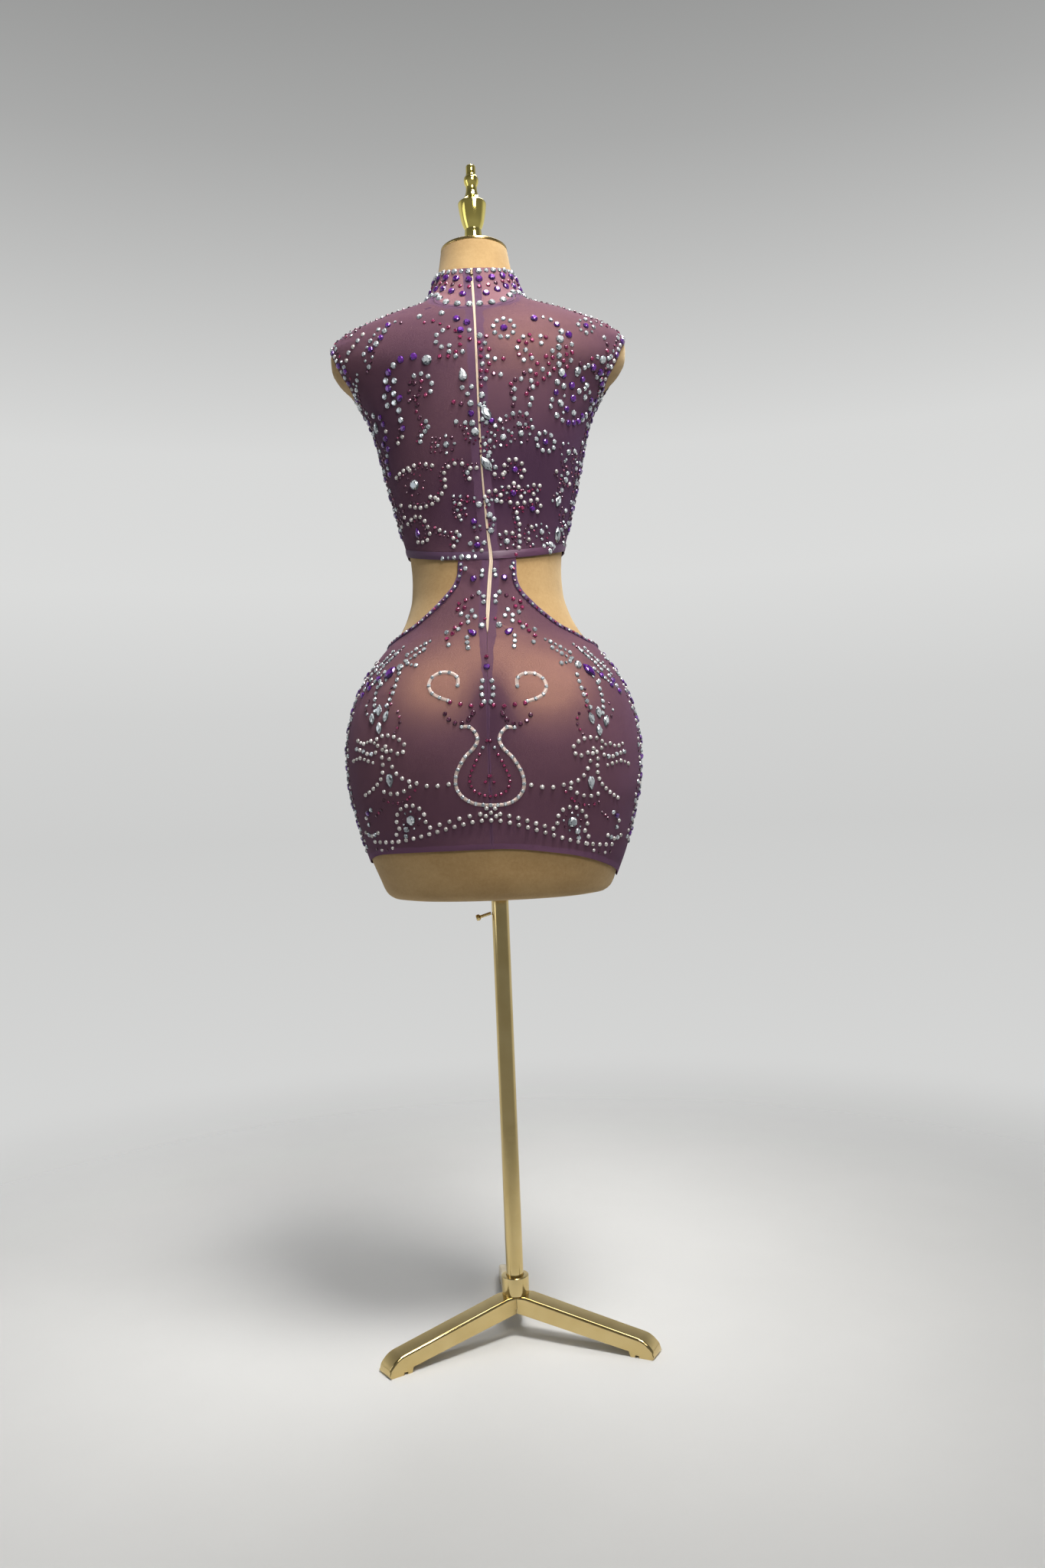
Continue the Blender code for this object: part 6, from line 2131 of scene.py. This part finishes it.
CAMERA = {"place": (0.0337, -1.5794, 0.672), "lens": 27.80, "sensor": 36.0, "roll": 2.3, "shift": 0.0142}
FLOOR = {"radius": 7.0, "segments": 96, "plain_to": 0.45, "gone_at": 1.7}
WARM, COOL, PLAIN = (1.0, 0.975, 0.94), (0.92, 0.95, 1.0), (1.0, 0.98, 0.96)

# A high key over the right shoulder, a softer one towards the neck, and weak light from the rest.
LIGHTS = {name: Light(*row) for name, row in {
    "key": ((0.52, -0.66, 2.90), (0.0, -0.05, 0.75), (0.8, 0.8), 10.4, WARM, 60),
    "upper": ((0.60, -1.60, 2.05), (0.0, 0.0, 1.12), (0.7, 0.7), 3.6, WARM, 54),
    "side": ((-2.2, -0.6, 1.3), (0.0, 0.0, 0.9), (1.0, 1.4), 6, COOL, 180),
    "behind": ((0.2, 1.1, 3.2), (0.0, 0.0, 1.0), (1.2, 1.2), 26, PLAIN, 180),
}.items()}

# How light the backdrop and the room on the camera's side are, from low to high.
BACKDROP = ((0.0, 0.66), (0.18, 0.61), (0.28, 0.64), (0.38, 0.71), (0.48, 0.69), (0.58, 0.55), (0.68, 0.40),
            (0.76, 0.31), (1.0, 0.20))
ROOM = ((0.0, 0.30), (0.3, 0.22), (1.0, 0.10))
GREY = (1.0, 1.005, 0.995)


def add_camera():
    """The camera stands level behind the dress, rolled a little, as the photo was taken."""
    data = bpy.data.cameras.new("camera")
    data.sensor_fit = "VERTICAL"
    data.sensor_height = CAMERA["sensor"]
    data.lens = CAMERA["lens"]
    data.shift_y = CAMERA["shift"]
    camera = bpy.data.objects.new("camera", data)
    camera.location = CAMERA["place"]
    camera.rotation_euler = (math.radians(90), math.radians(CAMERA["roll"]), 0.0)
    bpy.context.scene.collection.objects.link(camera)
    bpy.context.scene.camera = camera


def add_light(name, light):
    data = bpy.data.lights.new(name, "AREA")
    data.spread = math.radians(light.spread)
    data.shape = "RECTANGLE"
    data.size, data.size_y = light.size
    data.energy = light.power
    data.color = light.colour
    obj = bpy.data.objects.new(name, data)
    obj.location = light.place
    obj.rotation_euler = (Vector(light.aim) - Vector(light.place)).to_track_quat("-Z", "Y").to_euler()
    bpy.context.scene.collection.objects.link(obj)


def grey_ramp(studio, value, stops):
    places, tones = zip(*stops)
    return studio.ramp(value, places, [tuple(tone * part for part in GREY) for tone in tones])


def add_world():
    """A pale backdrop beyond the object, darker towards its top, and a dim room on the camera's side."""
    world = bpy.data.worlds.new("studio")
    world.use_nodes = True
    studio = Nodes(world.node_tree)
    parts = studio.parts(studio.node("TexCoord").outputs["Generated"])
    heights = studio.span(parts["Z"], low=-0.2, high=0.8)
    backdrop = grey_ramp(studio, heights, BACKDROP)
    room = grey_ramp(studio, heights, ROOM)
    beyond = studio.span(parts["Y"], low=-0.15, high=0.45, soft=True)
    studio.link(studio.mix(beyond, room, backdrop), studio.tree.nodes["Background"].inputs["Color"])
    bpy.context.scene.world = world


def make_floor_material():
    """A pale matt floor that fades into the studio's backdrop far from the stand."""
    shader = Shader("studio_floor")
    smudges = shader.noise(scale=1.6, detail=6.0, roughness=0.6)
    shader.feed("Base Color", shader.toned(smudges, "floor"))
    length = shader.node("VectorMath", operation="LENGTH")
    shader.link(shader.object_place(), length.inputs[0])
    gone = shader.span(length.outputs["Value"], FLOOR["plain_to"], FLOOR["gone_at"], soft=True)
    mix = shader.node("MixShader")
    output = next(node for node in shader.tree.nodes if node.type == "OUTPUT_MATERIAL")
    shader.link(gone, mix.inputs["Fac"])
    shader.link(shader.surface.outputs["BSDF"], mix.inputs[1])
    shader.link(shader.node("BsdfTransparent").outputs["BSDF"], mix.inputs[2])
    shader.link(mix.outputs["Shader"], output.inputs["Surface"])
    return shader.material


def add_floor():
    bm = bmesh.new()
    bmesh.ops.create_circle(bm, cap_ends=True, cap_tris=True, segments=FLOOR["segments"],
                            radius=FLOOR["radius"])
    mesh = bpy.data.meshes.new("floor")
    bm.to_mesh(mesh)
    bm.free()
    mesh.materials.append(make_floor_material())
    floor = bpy.data.objects.new("floor", mesh)
    bpy.context.scene.collection.objects.link(floor)


def set_colours():
    """Plain display colours, so that pale tones stay pale."""
    view = bpy.context.scene.view_settings
    view.view_transform = "Standard"
    view.look = "None"


MATERIALS = make_materials()
set_colours()
add_camera()
for light_name, area_light in LIGHTS.items():
    add_light(light_name, area_light)
add_world()
add_floor()
add_suede_form()
add_skirt_cloth()
add_bodice_cloth()
add_collar_cloth()
add_band_cloth()
add_binding_cloth("binding_left_cloth", "cutout_binding_left", -1)
add_binding_cloth("binding_right_cloth", "cutout_binding_right", 1)
ZIP_TOP = float(edge_height(COLLAR_TOP, BACK))
add_zip_tape(ZIP_TOP)
add_zip_teeth(ZIP_TOP)
add_fittings()
add_legs()
paint_kept_nodes()
add_stones()
